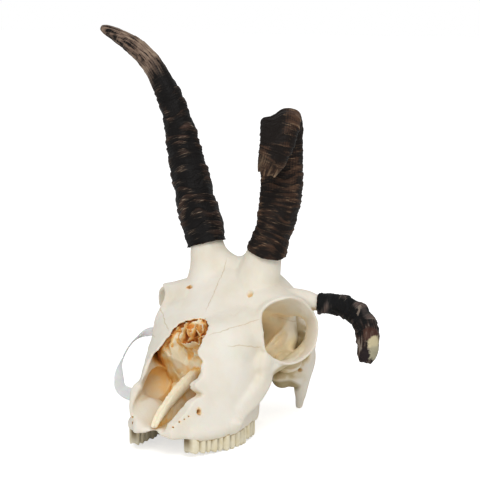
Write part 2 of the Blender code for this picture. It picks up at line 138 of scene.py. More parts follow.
# %% A grid bent over an array of points
def bent_grid(name, points, fill=True):
    """Lay a flat grid over points[row, column], weld the seams and close what stays open."""
    rows, columns = points.shape[:2]
    bm = bmesh.new()
    bmesh.ops.create_grid(bm, x_segments=columns - 1, y_segments=rows - 1, size=0.5)
    ob = object_from(bm, name)
    flat = points_of(ob)
    column = np.rint((flat[:, 0] + 0.5) * (columns - 1)).astype(int)
    row = np.rint((flat[:, 1] + 0.5) * (rows - 1)).astype(int)
    move_points(ob, points[row, column])
    bm = bmesh.new()
    bm.from_mesh(ob.data)
    bmesh.ops.remove_doubles(bm, verts=bm.verts, dist=WELD)
    if fill:
        bmesh.ops.holes_fill(bm, edges=[e for e in bm.edges if e.is_boundary], sides=0)
        bmesh.ops.recalc_face_normals(bm, faces=bm.faces)
    bm.to_mesh(ob.data)
    bm.free()
    return ob


# %% Sheets made solid
def drawn_out(ob, way):
    """Extrude an open sheet along a vector into a solid."""
    bm = bmesh.new()
    bm.from_mesh(ob.data)
    drawn = bmesh.ops.extrude_face_region(bm, geom=list(bm.faces))
    moved = [v for v in drawn["geom"] if isinstance(v, bmesh.types.BMVert)]
    bmesh.ops.translate(bm, verts=moved, vec=Vector(way))
    bmesh.ops.recalc_face_normals(bm, faces=bm.faces)
    bm.to_mesh(ob.data)
    bm.free()
    return ob


# %% Tubes, eggs and joins
def unit(vectors):
    """Vectors of length one."""
    return vectors / np.linalg.norm(vectors, axis=-1, keepdims=True)


def swept(rows, count, sides, across=(1, 0, 0)):
    """Ovals along rows of x, y, z, half width, half height: the points and their directions."""
    path = smooth_rows(rows, count)
    centre = path[:, :3]
    ahead = unit(np.gradient(centre, axis=0))
    across = np.array(across, float)
    side = unit(across - ahead * (ahead @ across)[:, None])
    up = np.cross(ahead, side)
    turn = np.linspace(0, 2 * math.pi, sides + 1)
    out = side[:, None] * np.cos(turn)[:, None] * path[:, 3, None, None]
    out = out + up[:, None] * np.sin(turn)[:, None] * path[:, 4, None, None]
    return centre[:, None] + out, unit(out + 1e-9)


def path_length(rows):
    """Length of the straight runs between rows that start with x, y, z."""
    return np.linalg.norm(np.diff(np.array(rows, float)[:, :3], axis=0), axis=1).sum()


def tube(name, rows, sides=24, step=2.0, across=(1, 0, 0)):
    """An oval bar along rows of x, y, z, half width, half height."""
    count = max(4, round(path_length(rows) / step))
    return bent_grid(name, swept(rows, count, sides, across)[0])


def egg(name, centre, radii):
    """An ellipsoid."""
    bm = bmesh.new()
    bmesh.ops.create_icosphere(bm, subdivisions=4, radius=1.0)
    place = Matrix.Translation(centre) @ Matrix.Diagonal((*radii, 1.0))
    bmesh.ops.transform(bm, matrix=place, verts=bm.verts)
    return object_from(bm, name)


def mirrored(row, side):
    """A row that starts with x, on the animal's left (1) or right (-1)."""
    return (row[0] * side, *row[1:])


def on_side(rows, side):
    """Many rows on the animal's left (1) or right (-1)."""
    return [mirrored(row, side) for row in rows]


def noise_at(places, size, seed):
    """Noise whose grain is size mm wide, one value for each place of an array."""
    scale, shift = 1 / size, Vector((seed, 0, 0))
    values = [noise.noise(Vector(p) * scale + shift) for p in places.reshape(-1, 3)]
    return np.reshape(values, places.shape[:-1])


def join(name, pieces):
    """Put several objects' meshes into one object."""
    bm = bmesh.new()
    for piece in pieces:
        bm.from_mesh(piece.data)
        bpy.data.objects.remove(piece, do_unlink=True)
    return object_from(bm, name)


# %% [markdown]
# ## One skin from many masses
#
# A skull is solid bone that flows from one part into the next. Sculpting it by hand can't be
# repeated, and a single loft can't branch. So each bone is a simple mass, the masses overlap, and
# a voxel Remesh melts them into one skin with even, small faces. Hollows are then taken out with
# Boolean cuts, and a last Remesh rounds the cut edges as real bone edges are.

# %% Melt, cut and thin
VOXEL = 0.85
BONE_TRIANGLES = 190000


def melt(ob, smoothing):
    """One even skin round everything in the object, softened."""
    remesh = ob.modifiers.new("Melt", "REMESH")
    remesh.mode = "VOXEL"
    remesh.voxel_size = VOXEL
    soften = ob.modifiers.new("Soften", "SMOOTH")
    soften.factor = 0.5
    soften.iterations = smoothing
    return settle(ob)


def carve(ob, cutters):
    """Take the space of each cutter out of the object."""
    for cutter in cutters:
        modifier = ob.modifiers.new("Carve", "BOOLEAN")
        modifier.operation = "DIFFERENCE"
        modifier.solver = "MANIFOLD"
        modifier.object = cutter
        settle(ob)
        bpy.data.objects.remove(cutter, do_unlink=True)
    return ob


def thin_out(ob, wanted):
    """Bring the mesh under a number of triangles."""
    count = triangles(ob)
    if count > wanted:
        modifier = ob.modifiers.new("Thin", "DECIMATE")
        modifier.ratio = wanted / count
        settle(ob)
    return ob


# %% [markdown]
# ## The face and the roof of the skull
#
# The face is a box that widens from the broken nose to the cheeks, and the frontal bone lies on
# it as a shelf that reaches out over both eyes. Each is a loft: a table gives the half outline at
# a few stations, a curve rounds it, and the other half is its mirror image.

# %% Stations of the face: y, top, shoulder x z, side x z, tooth edge x z, palate z
FACE = (
    (-12, 24, 9, 22, 14, 18.5, 15, 13.5, 15),
    (-6, 40, 13, 35, 18, 24, 19.5, 13.5, 15),
    (0, 50, 15, 44, 21.5, 29, 24, 13, 15),
    (8, 60, 17, 53, 25, 34, 29, 12, 16),
    (18, 68, 18, 62, 29, 42, 34, 11, 17),
    (30, 75, 19, 70, 33.5, 50, 37.5, 12, 17),
    (42, 80, 24, 77, 38, 58, 38, 14, 18),
    (54, 83, 30, 82, 40.5, 62, 37, 14, 18),
    (66, 89, 35, 86, 38, 60, 35, 12, 18),
    (76, 95, 32, 87, 32, 57, 29, 14, 20),
    (84, 99, 27, 88, 26, 56, 25, 25, 25),
    (94, 102, 26, 89, 23, 58, 21, 30, 30),
    (104, 104, 26, 90, 24, 62, 18, 34, 34),
    (114, 104, 28, 86, 28, 66, 18, 37, 37),
)
FACE_STEP = 1.5
HALF_COLUMNS = 28
FACE_ROWS = 800
# Where the palate's flat part ends, as a share of the tooth edge's x
PALATE_FLAT = 0.55


def face_ring(row, wall, floor):
    """One station's outline, a wall's thickness further in, from the top down the left and round."""
    y, top, shoulder_x, shoulder_z, side_x, side_z, low_x, low_z, palate = row
    half = (
        (0, top - wall),
        (shoulder_x - wall * 0.7, shoulder_z - wall * 0.7),
        (side_x - wall, side_z),
        (low_x - wall, low_z + floor),
        (low_x * PALATE_FLAT, palate + floor),
        (0, palate + floor),
    )
    left = smooth_rows(half, HALF_COLUMNS, measured=2)
    right = left[::-1] * (-1, 1)
    outline = np.vstack([left, right[1:]])
    return np.insert(outline, 1, y, axis=1)


def face_stations(first, last):
    """The table's rows at even steps between two values of y."""
    rows = smooth_rows(FACE, FACE_ROWS, measured=1)
    marks = np.arange(first, last + 0.01, FACE_STEP)
    return np.stack([np.interp(marks, rows[:, 0], column) for column in rows.T], axis=1)


face_rows = face_stations(FACE[0][0], FACE[-1][0])
face = bent_grid("face", np.array([face_ring(row, 0, 0) for row in face_rows]))
print("face:", triangles(face), "triangles")

# %% The frontal shelf: y, middle z, half width, edge z, thickness
SHELF = (
    (45, 79, 24, 76, 5),
    (54, 84, 35, 79, 8),
    (62, 89.5, 39, 83.5, 8),
    (68, 94, 42, 86, 8),
    (73, 98, 46.5, 90, 8),
    (79, 102.5, 51.5, 94.5, 8),
    (86, 108, 53.5, 95, 9),
    (94, 113, 56.5, 92.5, 10),
    (100, 115, 58, 89, 11),
    (107, 115, 50, 87, 12),
    (114, 113, 38, 90, 14),
    (122, 109, 34, 88, 14),
)
# Its lower side is this much narrower
UNDERCUT = 0.93
SHELF_ROWS, CASE_ROWS, CASE_SIDES = 60, 40, 56


def shelf_ring(row):
    """One station of the frontal shelf."""
    y, middle, half, edge, thick = row
    between = (half * 0.45, middle * 0.55 + edge * 0.45)
    top = smooth_rows(((0, middle), between, (half, edge)), 20, measured=2)
    under = top[::-1] * (UNDERCUT, 1) - (0, thick)
    left = np.vstack([top, under])
    outline = np.vstack([left, (left[::-1] * (-1, 1))[1:]])
    return np.insert(outline, 1, y, axis=1)


shelf_rows = smooth_rows(SHELF, SHELF_ROWS, measured=1)
shelf = bent_grid("shelf", np.array([shelf_ring(row) for row in shelf_rows]))

# %% The braincase: y, half width, top, bottom
BRAINCASE = (
    (102, 26, 110, 40),
    (110, 31, 112, 37),
    (120, 34.5, 110, 35),
    (130, 35.5, 104, 34),
    (140, 34.5, 96, 34),
    (148, 31, 88, 36),
    (154, 23, 81, 42),
    (157, 10, 74, 54),
)


def braincase_ring(row):
    """One nearly round section of the braincase."""
    y, half, top, bottom = row
    turn = np.linspace(0, 2 * math.pi, CASE_SIDES + 1)
    circle = np.stack([np.cos(turn), np.sin(turn)], 1)
    bulge = np.abs(circle) ** 0.9 * np.sign(circle)
    x = bulge[:, 0] * half
    z = (top + bottom) / 2 + bulge[:, 1] * (top - bottom) / 2
    return np.stack([x, np.full_like(x, y), z], axis=1)


case_rows = smooth_rows(BRAINCASE, CASE_ROWS, measured=1)
braincase = bent_grid("braincase", np.array([braincase_ring(row) for row in case_rows]))
print("shelf and braincase:", triangles(shelf) + triangles(braincase), "triangles")

# %% [markdown]
# ## Rims, arches and processes
#
# Thin bone such as the ring round the eye, the cheek arch and the hooks under the ear is drawn as
# tubes of changing oval section, because a tube keeps its edge where a blob would look soft.

# %% The ring round each eye
EYE_CENTRE = np.array((54, 79.5, 73.5))
EYE_REAR = np.array((9.5, 20, 2))
EYE_UP = np.array((-2.5, 3, 21.5))
EYE_DEEP = np.array((13, 101, 62))
# The opening isn't a true ellipse: angle in degrees from the rear, its size there, and how far
# the rim is set in
EYE_OUTLINE = (
    (-174, 1.02, 0.0),
    (-153, 1.03, 0.0),
    (-124, 0.95, 0.0),
    (-90, 0.99, 0.0),
    (-60, 1.05, 0.0),
    (-42, 1.10, 0.0),
    (-21, 1.03, 0.0),
    (0, 1.0, 0.0),
    (26, 0.90, 0.0),
    (48, 0.88, 0.0),
    (70, 0.94, 0.0),
    (90, 1.01, 0.5),
    (110, 1.08, 1.5),
    (126, 1.16, 3.0),
    (140, 1.20, 4.0),
    (155, 1.14, 2.0),
    (170, 1.04, 0.5),
)
RIM_THICK = 1.3
RIM_DEEP = (5.0, 9.0)
RIM_STEPS = 96
INWARD = unit(EYE_DEEP - EYE_CENTRE)


def eye_outline(scale, count):
    """Points round the eye opening, scaled about its middle, the first one twice."""
    outline = np.array(EYE_OUTLINE)
    outline = np.vstack([outline - (360, 0, 0), outline, outline + (360, 0, 0)])
    turn = np.linspace(0, 360, count + 1)
    size, inset = (np.interp((turn + 180) % 360 - 180, outline[:, 0], outline[:, k]) for k in (1, 2))
    around = np.radians(turn)
    flat = EYE_REAR * np.cos(around)[:, None] + EYE_UP * np.sin(around)[:, None]
    return EYE_CENTRE + scale * size[:, None] * flat + INWARD * inset[:, None]


def eye_rim(side):
    """The ring of bone, thin to the outside, reaching furthest inwards at the rear."""
    ring = eye_outline(1.0, RIM_STEPS)
    outward = unit(ring - EYE_CENTRE)
    rearward = np.cos(np.linspace(0, 2 * math.pi, RIM_STEPS + 1))
    deep = np.interp(rearward, (-0.2, 0.8), RIM_DEEP)[:, None, None]
    turn = np.linspace(0, 2 * math.pi, 17)[None, :, None]
    lip = outward[:, None] * RIM_THICK * np.cos(turn) + INWARD * deep * (np.sin(turn) + 0.9)
    points = (ring + outward * RIM_THICK * 0.6)[:, None] + lip
    return bent_grid("rim", points * (side, 1, 1))


# %% Arches and processes: x, y, z, half width, half height
CHEEK_ARCH = (
    (36, 33, 24, 4, 5),
    (41.2, 48, 34, 5.2, 6.2),
    (43.5, 60, 42.5, 4.5, 6),
    (42, 68, 46, 4, 5),
)
# Behind the cheek its section leans outwards, so that its lower face looks down
REAR_ARCH = (
    (42, 56, 44.5, 5, 4),
    (45, 66, 47, 6, 3.2),
    (46, 78, 48.5, 6.5, 3),
    (47.5, 90, 50.5, 6.5, 3),
    (49.5, 103, 54.5, 5, 3.5),
    (48, 115, 58, 4.2, 4),
    (41, 122, 58, 5, 4.5),
    (32, 128, 58, 6, 6),
)
EAR_PROCESS = (
    (36, 131, 56, 7, 9),
    (37, 130, 42, 8.5, 8),
    (35.5, 130, 30, 6.8, 7),
    (34, 131, 22, 5.4, 6),
    (32.6, 133, 14, 3.9, 5),
    (30.6, 135.3, 9.0, 3.0, 4.0),
    (29.6, 136.4, 5.0, 2.7, 3.4),
    (29.2, 136.8, 3.2, 2.2, 2.9),
)
EAR_BLADE = (
    (51, 116, 59, 2.6, 4.5),
    (47.5, 119.5, 50, 2.8, 6),
    (43.5, 124, 40, 3.2, 7),
    (39, 129, 30, 3.5, 6.5),
)
SADDLE = (
    (-15, 98.5, 117, 9, 8),
    (-8, 99, 111.5, 9, 8),
    (1, 99.5, 109, 9, 8),
    (9, 99, 111.5, 9, 8),
    (15, 98.5, 116, 9, 8),
)
# Bone that carries the teeth
TOOTH_BED = (
    (21.5, -1.5, 17, 3.6, 4.6),
    (24.3, 5, 15.8, 5.4, 5.8),
    (27.7, 14, 15.2, 6.4, 5.8),
    (30.8, 25, 14.8, 7.0, 6.2),
    (31.6, 40, 15, 7.2, 6.4),
    (30, 54, 15.4, 7.0, 6.2),
    (27, 66, 17.5, 6.2, 6),
)
# The right jaw bone swells more than the left one in front
RIGHT_SWELL = (
    (-17.5, -7, 26, 3.2, 8),
    (-24.2, 5, 29, 4.0, 12),
    (-30.4, 15, 29.5, 4.2, 12),
    (-34.5, 26, 28, 3.2, 10),
    (-37, 38, 27, 1.5, 6),
)
# The rear of the right eye's rim stands out a little further
RIGHT_RIM = (
    (-55.8, 90.4, 91.2, 1.5, 1.5),
    (-60.3, 94.7, 88, 1.6, 1.6),
    (-63.2, 98, 83, 1.8, 1.8),
    (-63.4, 99, 77.5, 1.8, 1.8),
    (-61, 97.5, 71, 1.6, 1.6),
)
# The wall between an eye socket and the temple, and a sharp ridge on its front
EYE_WALL = (
    (34, 110, 88, 7, 8),
    (33, 113, 79, 7, 8),
    (33, 112, 70, 8.5, 8),
    (32, 109, 60, 10.5, 8),
    (29, 104, 50, 12, 8),
    (27, 100, 43, 12, 6),
)
EYE_RIDGE = (
    (39, 107, 77, 1.2, 1.2),
    (35.5, 104.5, 69, 1.7, 1.7),
    (30, 103, 62.5, 1.9, 1.9),
    (26.5, 99.5, 57, 1.7, 1.7),
    (24, 95, 53, 1.2, 1.2),
)
SKULL_BASE = ((0, 92, 38, 9, 6), (0, 110, 38, 9, 6), (0, 130, 38, 11, 6), (0, 146, 40, 14, 7))
NECK_CREST = (
    (38, 140, 58, 4, 4),
    (34, 146, 68, 3.5, 3.5),
    (25, 151, 78, 3.5, 3.5),
    (0, 155.5, 84, 4, 4),
    (-25, 151, 78, 3.5, 3.5),
    (-34, 146, 68, 3.5, 3.5),
    (-38, 140, 58, 4, 4),
)
THROAT_WING = ((21, 74, 16, 3.0, 5), (20, 84, 25, 2.2, 5), (17, 95, 29, 2.0, 5), (14, 104, 33, 2.2, 4))
HORN_CORE = (
    (19, 93, 94, 17, 16),
    (19.6, 96, 105, 15.2, 15),
    (21.3, 97.5, 114, 13.4, 13.8),
    (23.5, 98.2, 124, 11.4, 12.8),
    (26, 99.5, 130, 9.0, 10.5),
)
SIDE_CORE = (
    (42, 98, 90, 9, 9),
    (52, 104, 89.5, 7.5, 7.5),
    (60, 107.5, 88, 5.6, 5.6),
    (68, 109.5, 87, 4.6, 4.6),
)

# %% Rounded masses: middle and half sizes, the same on both sides
MASSES = {
    "cheek floor": ((40, 68, 47.5), (8.5, 14, 5)),
    "joint front": ((40, 101, 46), (9, 12, 8)),
    "ear floor": ((32, 124, 29), (8, 9, 7.5)),
    "cheek front": ((42, 61, 53), (7, 8, 8)),
    "socket roof": ((39, 93, 85), (15, 15, 12)),
    "jaw joint": ((40, 123, 53), (9.5, 8, 6)),
    "ear mass": ((37, 134, 52), (6, 8, 13)),
    "neck joint": ((15, 151, 38), (9, 7.5, 10)),
    "ear bulla": ((26.5, 118.5, 31), (7.5, 12.0, 9.5)),
    "tear bone": ((35, 66, 70), (10, 12, 16.5)),
    "joint block": ((34, 119, 42), (13, 10, 12.5)),
}
NECK_PLATE = ((0, 149, 46), (24, 7, 14))

bone_parts = [face, shelf, braincase, egg("neck plate", *NECK_PLATE), tube("base", SKULL_BASE)]
bone_parts.append(tube("crest", NECK_CREST, across=(0, 1, 0)))
bone_parts.append(tube("saddle", SADDLE, across=(0, 1, 0)))
for side in SIDES:
    for name, (middle, radii) in MASSES.items():
        bone_parts.append(egg(name, mirrored(middle, side), radii))
    bone_parts.append(eye_rim(side))
    bone_parts.append(tube("cheek ridge", on_side(CHEEK_ARCH, side)))
    bone_parts.append(tube("arch", on_side(REAR_ARCH, side), across=(side, 0, 0.9)))
    bone_parts.append(tube("ear process", on_side(EAR_PROCESS, side)))
    bone_parts.append(tube("ear blade", on_side(EAR_BLADE, side)))
    bone_parts.append(tube("tooth bed", on_side(TOOTH_BED, side)))
    bone_parts.append(tube("eye wall", on_side(EYE_WALL, side), across=(1, 0.6, 0)))
    bone_parts.append(tube("throat wing", on_side(THROAT_WING, side)))
    bone_parts.append(tube("horn core", on_side(HORN_CORE, side), sides=40))
bone_parts.append(tube("right swelling", RIGHT_SWELL))
bone_parts.append(tube("right rim", RIGHT_RIM, step=1.0))
bone_parts.append(tube("side core", SIDE_CORE, across=(0, 1, 0)))
bone = melt(join("skull_bone", bone_parts), 10)
print("bone masses melted:", triangles(bone), "triangles")

# %% [markdown]
# ## The hollows
#
# Eye sockets, the nose, the vault of the palate, the throat and the hole for the spinal cord are
# each cut with a body of their own shape. The edge of the nose is broken bone, so its cutter is a
# curtain whose outline follows the break on each side, roughened by a little noise.

# %% Eye sockets
SOCKET = ((-0.3, 1.04), (0, 0.97), (0.3, 0.88), (0.55, 0.70), (0.8, 0.44), (1.0, 0.16))


def eye_socket(side):
    """The space of one eye, from in front of its rim to the hole for the nerve."""
    rows = smooth_rows(SOCKET, 24, measured=1)
    way = EYE_DEEP - EYE_CENTRE
    points = np.array([eye_outline(scale, RIM_STEPS) + way * along for along, scale in rows])
    return bent_grid("socket", points * (side, 1, 1))


# %% The nose: how far its walls stand in from the face, and a smooth hollow in each
NOSE_WALL = 1.8
NOSE_FLOOR = 4.0
# y, then how much narrower than the face the hollow is low down, on the left and on the right
NOSE_SQUEEZE = (
    (-24, 0.5, -0.28),
    (-6, 0.48, -0.28),
    (0, 0.36, -0.13),
    (8, 0.26, -0.02),
    (18, 0.3, 0.13),
    (30, 0.42, 0.35),
    (54, 0.5, 0.5),
)
NOSE_BACK = 54
SQUEEZE_HEIGHTS = (60, 46)
# On the right the floor rises outwards to the broken edge: y, height of the rise
FLOOR_RISE = ((-24, 10), (-6, 11), (5, 13.5), (18, 13.5), (28, 9), (38, 0), (54, 0))
RISE_SPAN = (5, 22)
SIDE_HOLLOW = ((23.5, 31, 38.5), (9.5, 14, 10.5))


def nose_hollow():
    """The space inside the nose, a wall's thickness inside the face and narrower towards the throat."""
    rows = face_stations(-6.5, NOSE_BACK)
    rows = np.vstack([np.concatenate([[-24], rows[0, 1:]]), rows])
    points = np.array([face_ring(row, NOSE_WALL, NOSE_FLOOR) for row in rows])
    y, left, right = np.array(NOSE_SQUEEZE).T
    at_left, at_right = (np.interp(points[..., 1], y, column) for column in (left, right))
    squeeze = np.where(points[..., 0] > 0, at_left, at_right)
    low = np.interp(points[..., 2], SQUEEZE_HEIGHTS[::-1], (1, 0))
    points[..., 0] *= (1 - squeeze * low) * np.interp(points[..., 1], (NOSE_BACK - 8, NOSE_BACK), (1, 0.85))
    # Nothing of it reaches below the palate's wall
    low_x, low_z, palate = (rows[:, k, None] for k in (6, 7, 8))
    outwards = np.clip((np.abs(points[..., 0]) / low_x - PALATE_FLAT) / (1 - PALATE_FLAT), 0, 1)
    rise = np.interp(-points[..., 0], RISE_SPAN, (0, 1)) * np.interp(points[..., 1], *zip(*FLOOR_RISE))
    lowest = palate + (low_z - palate) * outwards + NOSE_FLOOR * 0.75 + rise
    points[..., 2] = np.maximum(points[..., 2], lowest)
    return bent_grid("nose", points)


# %% The broken edge of the nose on the left: x, y, z
NOSE_EDGE = (
    (14, -16, 15),
    (15, -10, 22),
    (17, -5, 27),
    (20, 1, 33),
    (21.5, 6, 37.5),
    (24.5, 12.5, 40),
    (22, 8.5, 44.5),
    (20.8, 10, 48.5),
    (20.5, 15, 50.5),
    (19, 18, 56),
    (18, 20.5, 61),
    (17, 19.5, 66),
    (15, 26, 70),
    (14, 30, 74),
    (13, 36, 75.5),
    (12, 40, 77.5),
    (10, 43, 83),
    (5, 46, 84),
    (0, 48, 84.5),
)
# The curtain is a sheet that looks forwards and up; across is x, along runs up its slope
CURTAIN_OUT = np.array((0, -0.8, 0.6))
CURTAIN_ALONG = np.array((0, 0.6, 0.8))
CURTAIN_STEP = 0.7
# How rough the break is low down, where it crosses thick bone, and higher up
EDGE_ROUGHNESS = (0.35, 2.1)
# Two noises, a coarse and a fine one: a layer to read it in, and its grain
EDGE_GRAINS = ((3.0, 1 / 0.45), (9.0, 1 / 1.1))
CURTAIN_HALF, CURTAIN_REACH = 62, 90


def on_curtain(x, along, out):
    """Points from how far to the side, up the slope and out they are."""
    sideways = x[..., None] * np.array((1, 0, 0))
    return sideways + along[..., None] * CURTAIN_ALONG + out[..., None] * CURTAIN_OUT


def nose_curtain():
    """All that lies before the broken edge: a rough sheet drawn out forwards into a solid."""
    edge = smooth_rows(NOSE_EDGE, 200)
    way, depth, width = edge @ CURTAIN_ALONG, edge @ CURTAIN_OUT, edge[:, 0]
    order = np.argsort(way)
    along = np.arange(-40, way.max(), CURTAIN_STEP)
    across = np.arange(-CURTAIN_HALF, CURTAIN_HALF + 0.1, CURTAIN_STEP)
    x, t = np.meshgrid(across, along)
    half = np.interp(t, way[order], width[order])
    face_depth = np.interp(t, way[order], depth[order])
    slope = np.interp(t, (58, 76), (0.25, 1.7))
    rough, fine = (noise_at(np.stack([x, t, np.full_like(x, layer)], -1), size, 0)
                   for layer, size in EDGE_GRAINS)
    uneven = (rough + fine * 0.5) * np.interp(t, (32, 56), EDGE_ROUGHNESS)
    shape = face_depth + slope * (np.abs(x) - half) + uneven
    return drawn_out(bent_grid("curtain", on_curtain(x, t, shape), fill=False), CURTAIN_OUT * CURTAIN_REACH)


# %% Palate, throat and spinal cord
PALATE_VAULT = ((-24, 12), (0, 15.5), (20, 20), (40, 23), (60, 22), (84, 15))
PALATE_HEIGHT = 17.5
THROAT = ((0, 92, 24), (10.5, 20, 12))
CORD_HOLE = ((0, 156, 46), (9.5, 14, 9))


def palate_vault():
    """The arch between the tooth rows."""
    turn = np.linspace(0, 2 * math.pi, 41)
    y, half = (column[:, None] for column in smooth_rows(PALATE_VAULT, 50, measured=1).T)
    x, z = half * np.cos(turn), PALATE_HEIGHT * np.sin(turn)
    return bent_grid("vault", np.stack(np.broadcast_arrays(x, y, z), axis=-1))


cutters = [eye_socket(1), eye_socket(-1), nose_hollow(), nose_curtain(), palate_vault()]
cutters += [egg("side hollow", mirrored(SIDE_HOLLOW[0], side), SIDE_HOLLOW[1]) for side in SIDES]
cutters += [egg("throat", *THROAT), egg("cord hole", *CORD_HOLE)]
carve(bone, cutters)
ridges = [tube("eye ridge", on_side(EYE_RIDGE, side), step=1.0) for side in SIDES]
bone = melt(join("skull_bone", [bone, *ridges]), 2)

# %% Places to rub smooth
# Three ranges, of x, y and z, and a number of strokes: the broken end of the right jaw bone and its
# lower edge, the saddle between the horns, the roofs of both eye sockets, and the right brow
SOFT_PLACES = (
    (((-60, -4), (-30, 27), (23, 52)), 22),
    (((-60, -4), (-30, 4), (10, 23)), 15),
    (((-22, 22), (80, 108), (94, 125)), 40),
    (((24, 51), (90, 118), (64, 93)), 25),
    (((-51, -24), (90, 118), (64, 93)), 25),
    (((-60, -40), (64, 92), (78, 104)), 18),
)


def rub(ob, limits, strokes):
    """Smooth the corners inside a box again and again."""
    bm = bmesh.new()
    bm.from_mesh(ob.data)
    inside = [v for v in bm.verts if all(low < c < high for c, (low, high) in zip(v.co, limits))]
    for _ in range(strokes):
        bmesh.ops.smooth_vert(bm, verts=inside, factor=0.5, use_axis_x=True, use_axis_y=True, use_axis_z=True)
    bm.to_mesh(ob.data)
    bm.free()


for limits, strokes in SOFT_PLACES:
    rub(bone, limits, strokes)
print("bone with its hollows:", triangles(bone), "triangles")

# %% [markdown]
# ## Sculpting in code
#
# The melted skin has the right masses but is too even. Real bone shows where muscles pulled and
# where vessels ran: a knob and a ridge on the cheek, lines over the temples, shallow pits. Each is
# a row in a table, a place with a reach and a height, and every corner near it moves along its
# own outward direction. A soft bell curve keeps the edges of each mark smooth.

# %% Knobs and pits: x, y, z, reach, height
MARKS = (
    (38, 30, 18, 6.0, 3.0),
    (40, 24, 12, 6.0, -1.6),
    (33, 14, 30, 9.0, -1.0),
    (43, 61, 27, 10.0, -1.6),
    (41, 50, 57, 6.5, -1.4),
    (30, 40, 62, 10.0, -0.6),
    (15, 84, 99, 12.0, 0.9),
    (36, 118, 74, 13.0, -1.8),
    (30, 140, 66, 9.0, 0.8),
    (13, 157, 66, 7.0, -1.6),
    (0, 158, 72, 5.0, 1.4),
    (9, 118, 33, 5.0, 1.2),
    (16, 152, 30, 6.0, 0.8),
)
# Ridges and grooves: a line of x, y, z, then its width and height
LINES = (
    (((38, 30, 18), (42, 42, 25), (46, 54, 33), (50, 64, 40)), 3.4, 2.2),
    (((24, 74, 95), (23.5, 66, 91), (22, 57, 86)), 1.8, -0.7),
    (((52, 98, 86), (42, 110, 90), (34, 124, 88), (28, 138, 84), (20, 150, 80)), 2.2, 1.1),
    (((36, 132, 68), (34, 143, 60), (36, 140, 48)), 2.4, 0.9),
    (((0, 150, 92), (0, 138, 100), (0, 124, 107)), 3.0, 0.6),
    (((0, 156, 76), (0, 158, 66), (0, 158, 58)), 2.0, 1.0),
    (((26, 6, 31), (29, 0, 27), (22, -8, 22)), 2.6, -0.6),
)
GRAIN_SIZE = 5.0
GRAIN_HEIGHT = 0.16


def nearest(points, line):
    """Distance of each point from a smooth line."""
    samples = smooth_rows(line, 30)
    return np.min(np.stack([np.linalg.norm(points - sample, axis=1) for sample in samples]), axis=0)


def sculpt(ob):
    """Raise and press the marks and lines on both sides, and roughen the skin a little."""
    points, outward = points_of(ob), normals_of(ob)
    height = np.array([noise.noise(Vector(p) / GRAIN_SIZE) for p in points]) * GRAIN_HEIGHT
    for side in SIDES:
        mirror = np.array((side, 1, 1))
        for x, y, z, reach, amount in MARKS:
            if side == 1 or x:
                away = np.linalg.norm(points - mirror * (x, y, z), axis=1)
                height += amount * np.exp(-(away / reach) ** 2)
        for line, width, amount in LINES:
            if side == 1 or line[0][0]:
                height += amount * np.exp(-(nearest(points, np.array(line) * mirror) / width) ** 2)
    move_points(ob, points + outward * height[:, None])


sculpt(bone)
print("marks pressed:", len(MARKS) + len(LINES))

# %% [markdown]
# ## Small holes
#
# Vessels and nerves leave a skull through clean, slightly slanting holes. They are narrower than
# the melted skin can hold, so they are cut last, with tapered pegs.

# %% Pegs: side (0 for both), x, y, z, direction inwards, radius, depth
PEGS = (
    (1, (24, 76, 96.5), (0.05, 0.5, -1), 2.2, 11),
    (-1, (24.3, 76.6, 96.5), (0.5, 0.6, -0.6), 1.6, 9),
    (0, (25.8, 6.2, 29.6), (-0.9, 0.45, 0), 2.1, 4),
    (1, (42.8, 113, 37.1), (-0.59, 0.72, 0.36), 1.8, 7),
    (1, (42, 97, 37.5), (-0.5, 0.8, 0.25), 1.1, 6),
    (1, (14.8, -9.5, 22), (-0.5, 0.7, -0.5), 0.6, 3),
    (1, (17.5, -6.1, 25), (-0.7, 0.7, -0.2), 0.6, 3),
    (1, (19.6, -3.4, 26.5), (-0.7, 0.65, -0.2), 0.5, 3),
    (1, (21.3, -0.8, 28), (-0.7, 0.6, -0.2), 0.5, 3),
    (-1, (19, -4.5, 19.5), (0.3, 0.9, -0.1), 0.9, 3),
    (-1, (19.4, -4, 23.5), (0.3, 0.9, -0.1), 0.6, 3),
    (0, (13, 60, 19), (0.1, 0.2, 1), 1.5, 5),
    (0, (10, 146, 33), (0.1, -0.4, 1), 1.5, 6),
)
PEG_SIDES = 20
# Size of a peg's tip and head beside the hole's radius, and the share of its length it sinks in
PEG_TAPER = (0.55, 1.1)
PEG_SUNK = 0.3
# Pegs are aimed from this far outside
PEG_START = 15


def skin_tree(pieces):
    """A search tree of the faces of some pieces."""
    bm = bmesh.new()
    for piece in pieces:
        bm.from_mesh(piece.data)
    tree = BVHTree.FromBMesh(bm)
    bm.free()
    return tree


def peg_place(skin, middle, inwards, side):
    """Where the skin is along a peg's axis, and the axis."""
    mirror = np.array((side, 1, 1))
    middle, aim = Vector(mirror * middle), Vector(mirror * inwards).normalized()
    return skin.ray_cast(middle - aim * PEG_START, aim, PEG_START * 2)[0] or middle, aim


def peg(start, aim, radius, depth):
    """A tapered peg whose wide end stands a little outside the bone."""
    tip, head = radius * PEG_TAPER[0], radius * PEG_TAPER[1]
    bm = bmesh.new()
    bmesh.ops.create_cone(bm, cap_ends=True, segments=PEG_SIDES, radius1=tip, radius2=head, depth=depth)
    turn = Vector((0, 0, -1)).rotation_difference(aim).to_matrix().to_4x4()
    place = Matrix.Translation(start) @ turn @ Matrix.Translation((0, 0, -depth * PEG_SUNK))
    bmesh.ops.transform(bm, matrix=place, verts=bm.verts)
    return object_from(bm, "peg")


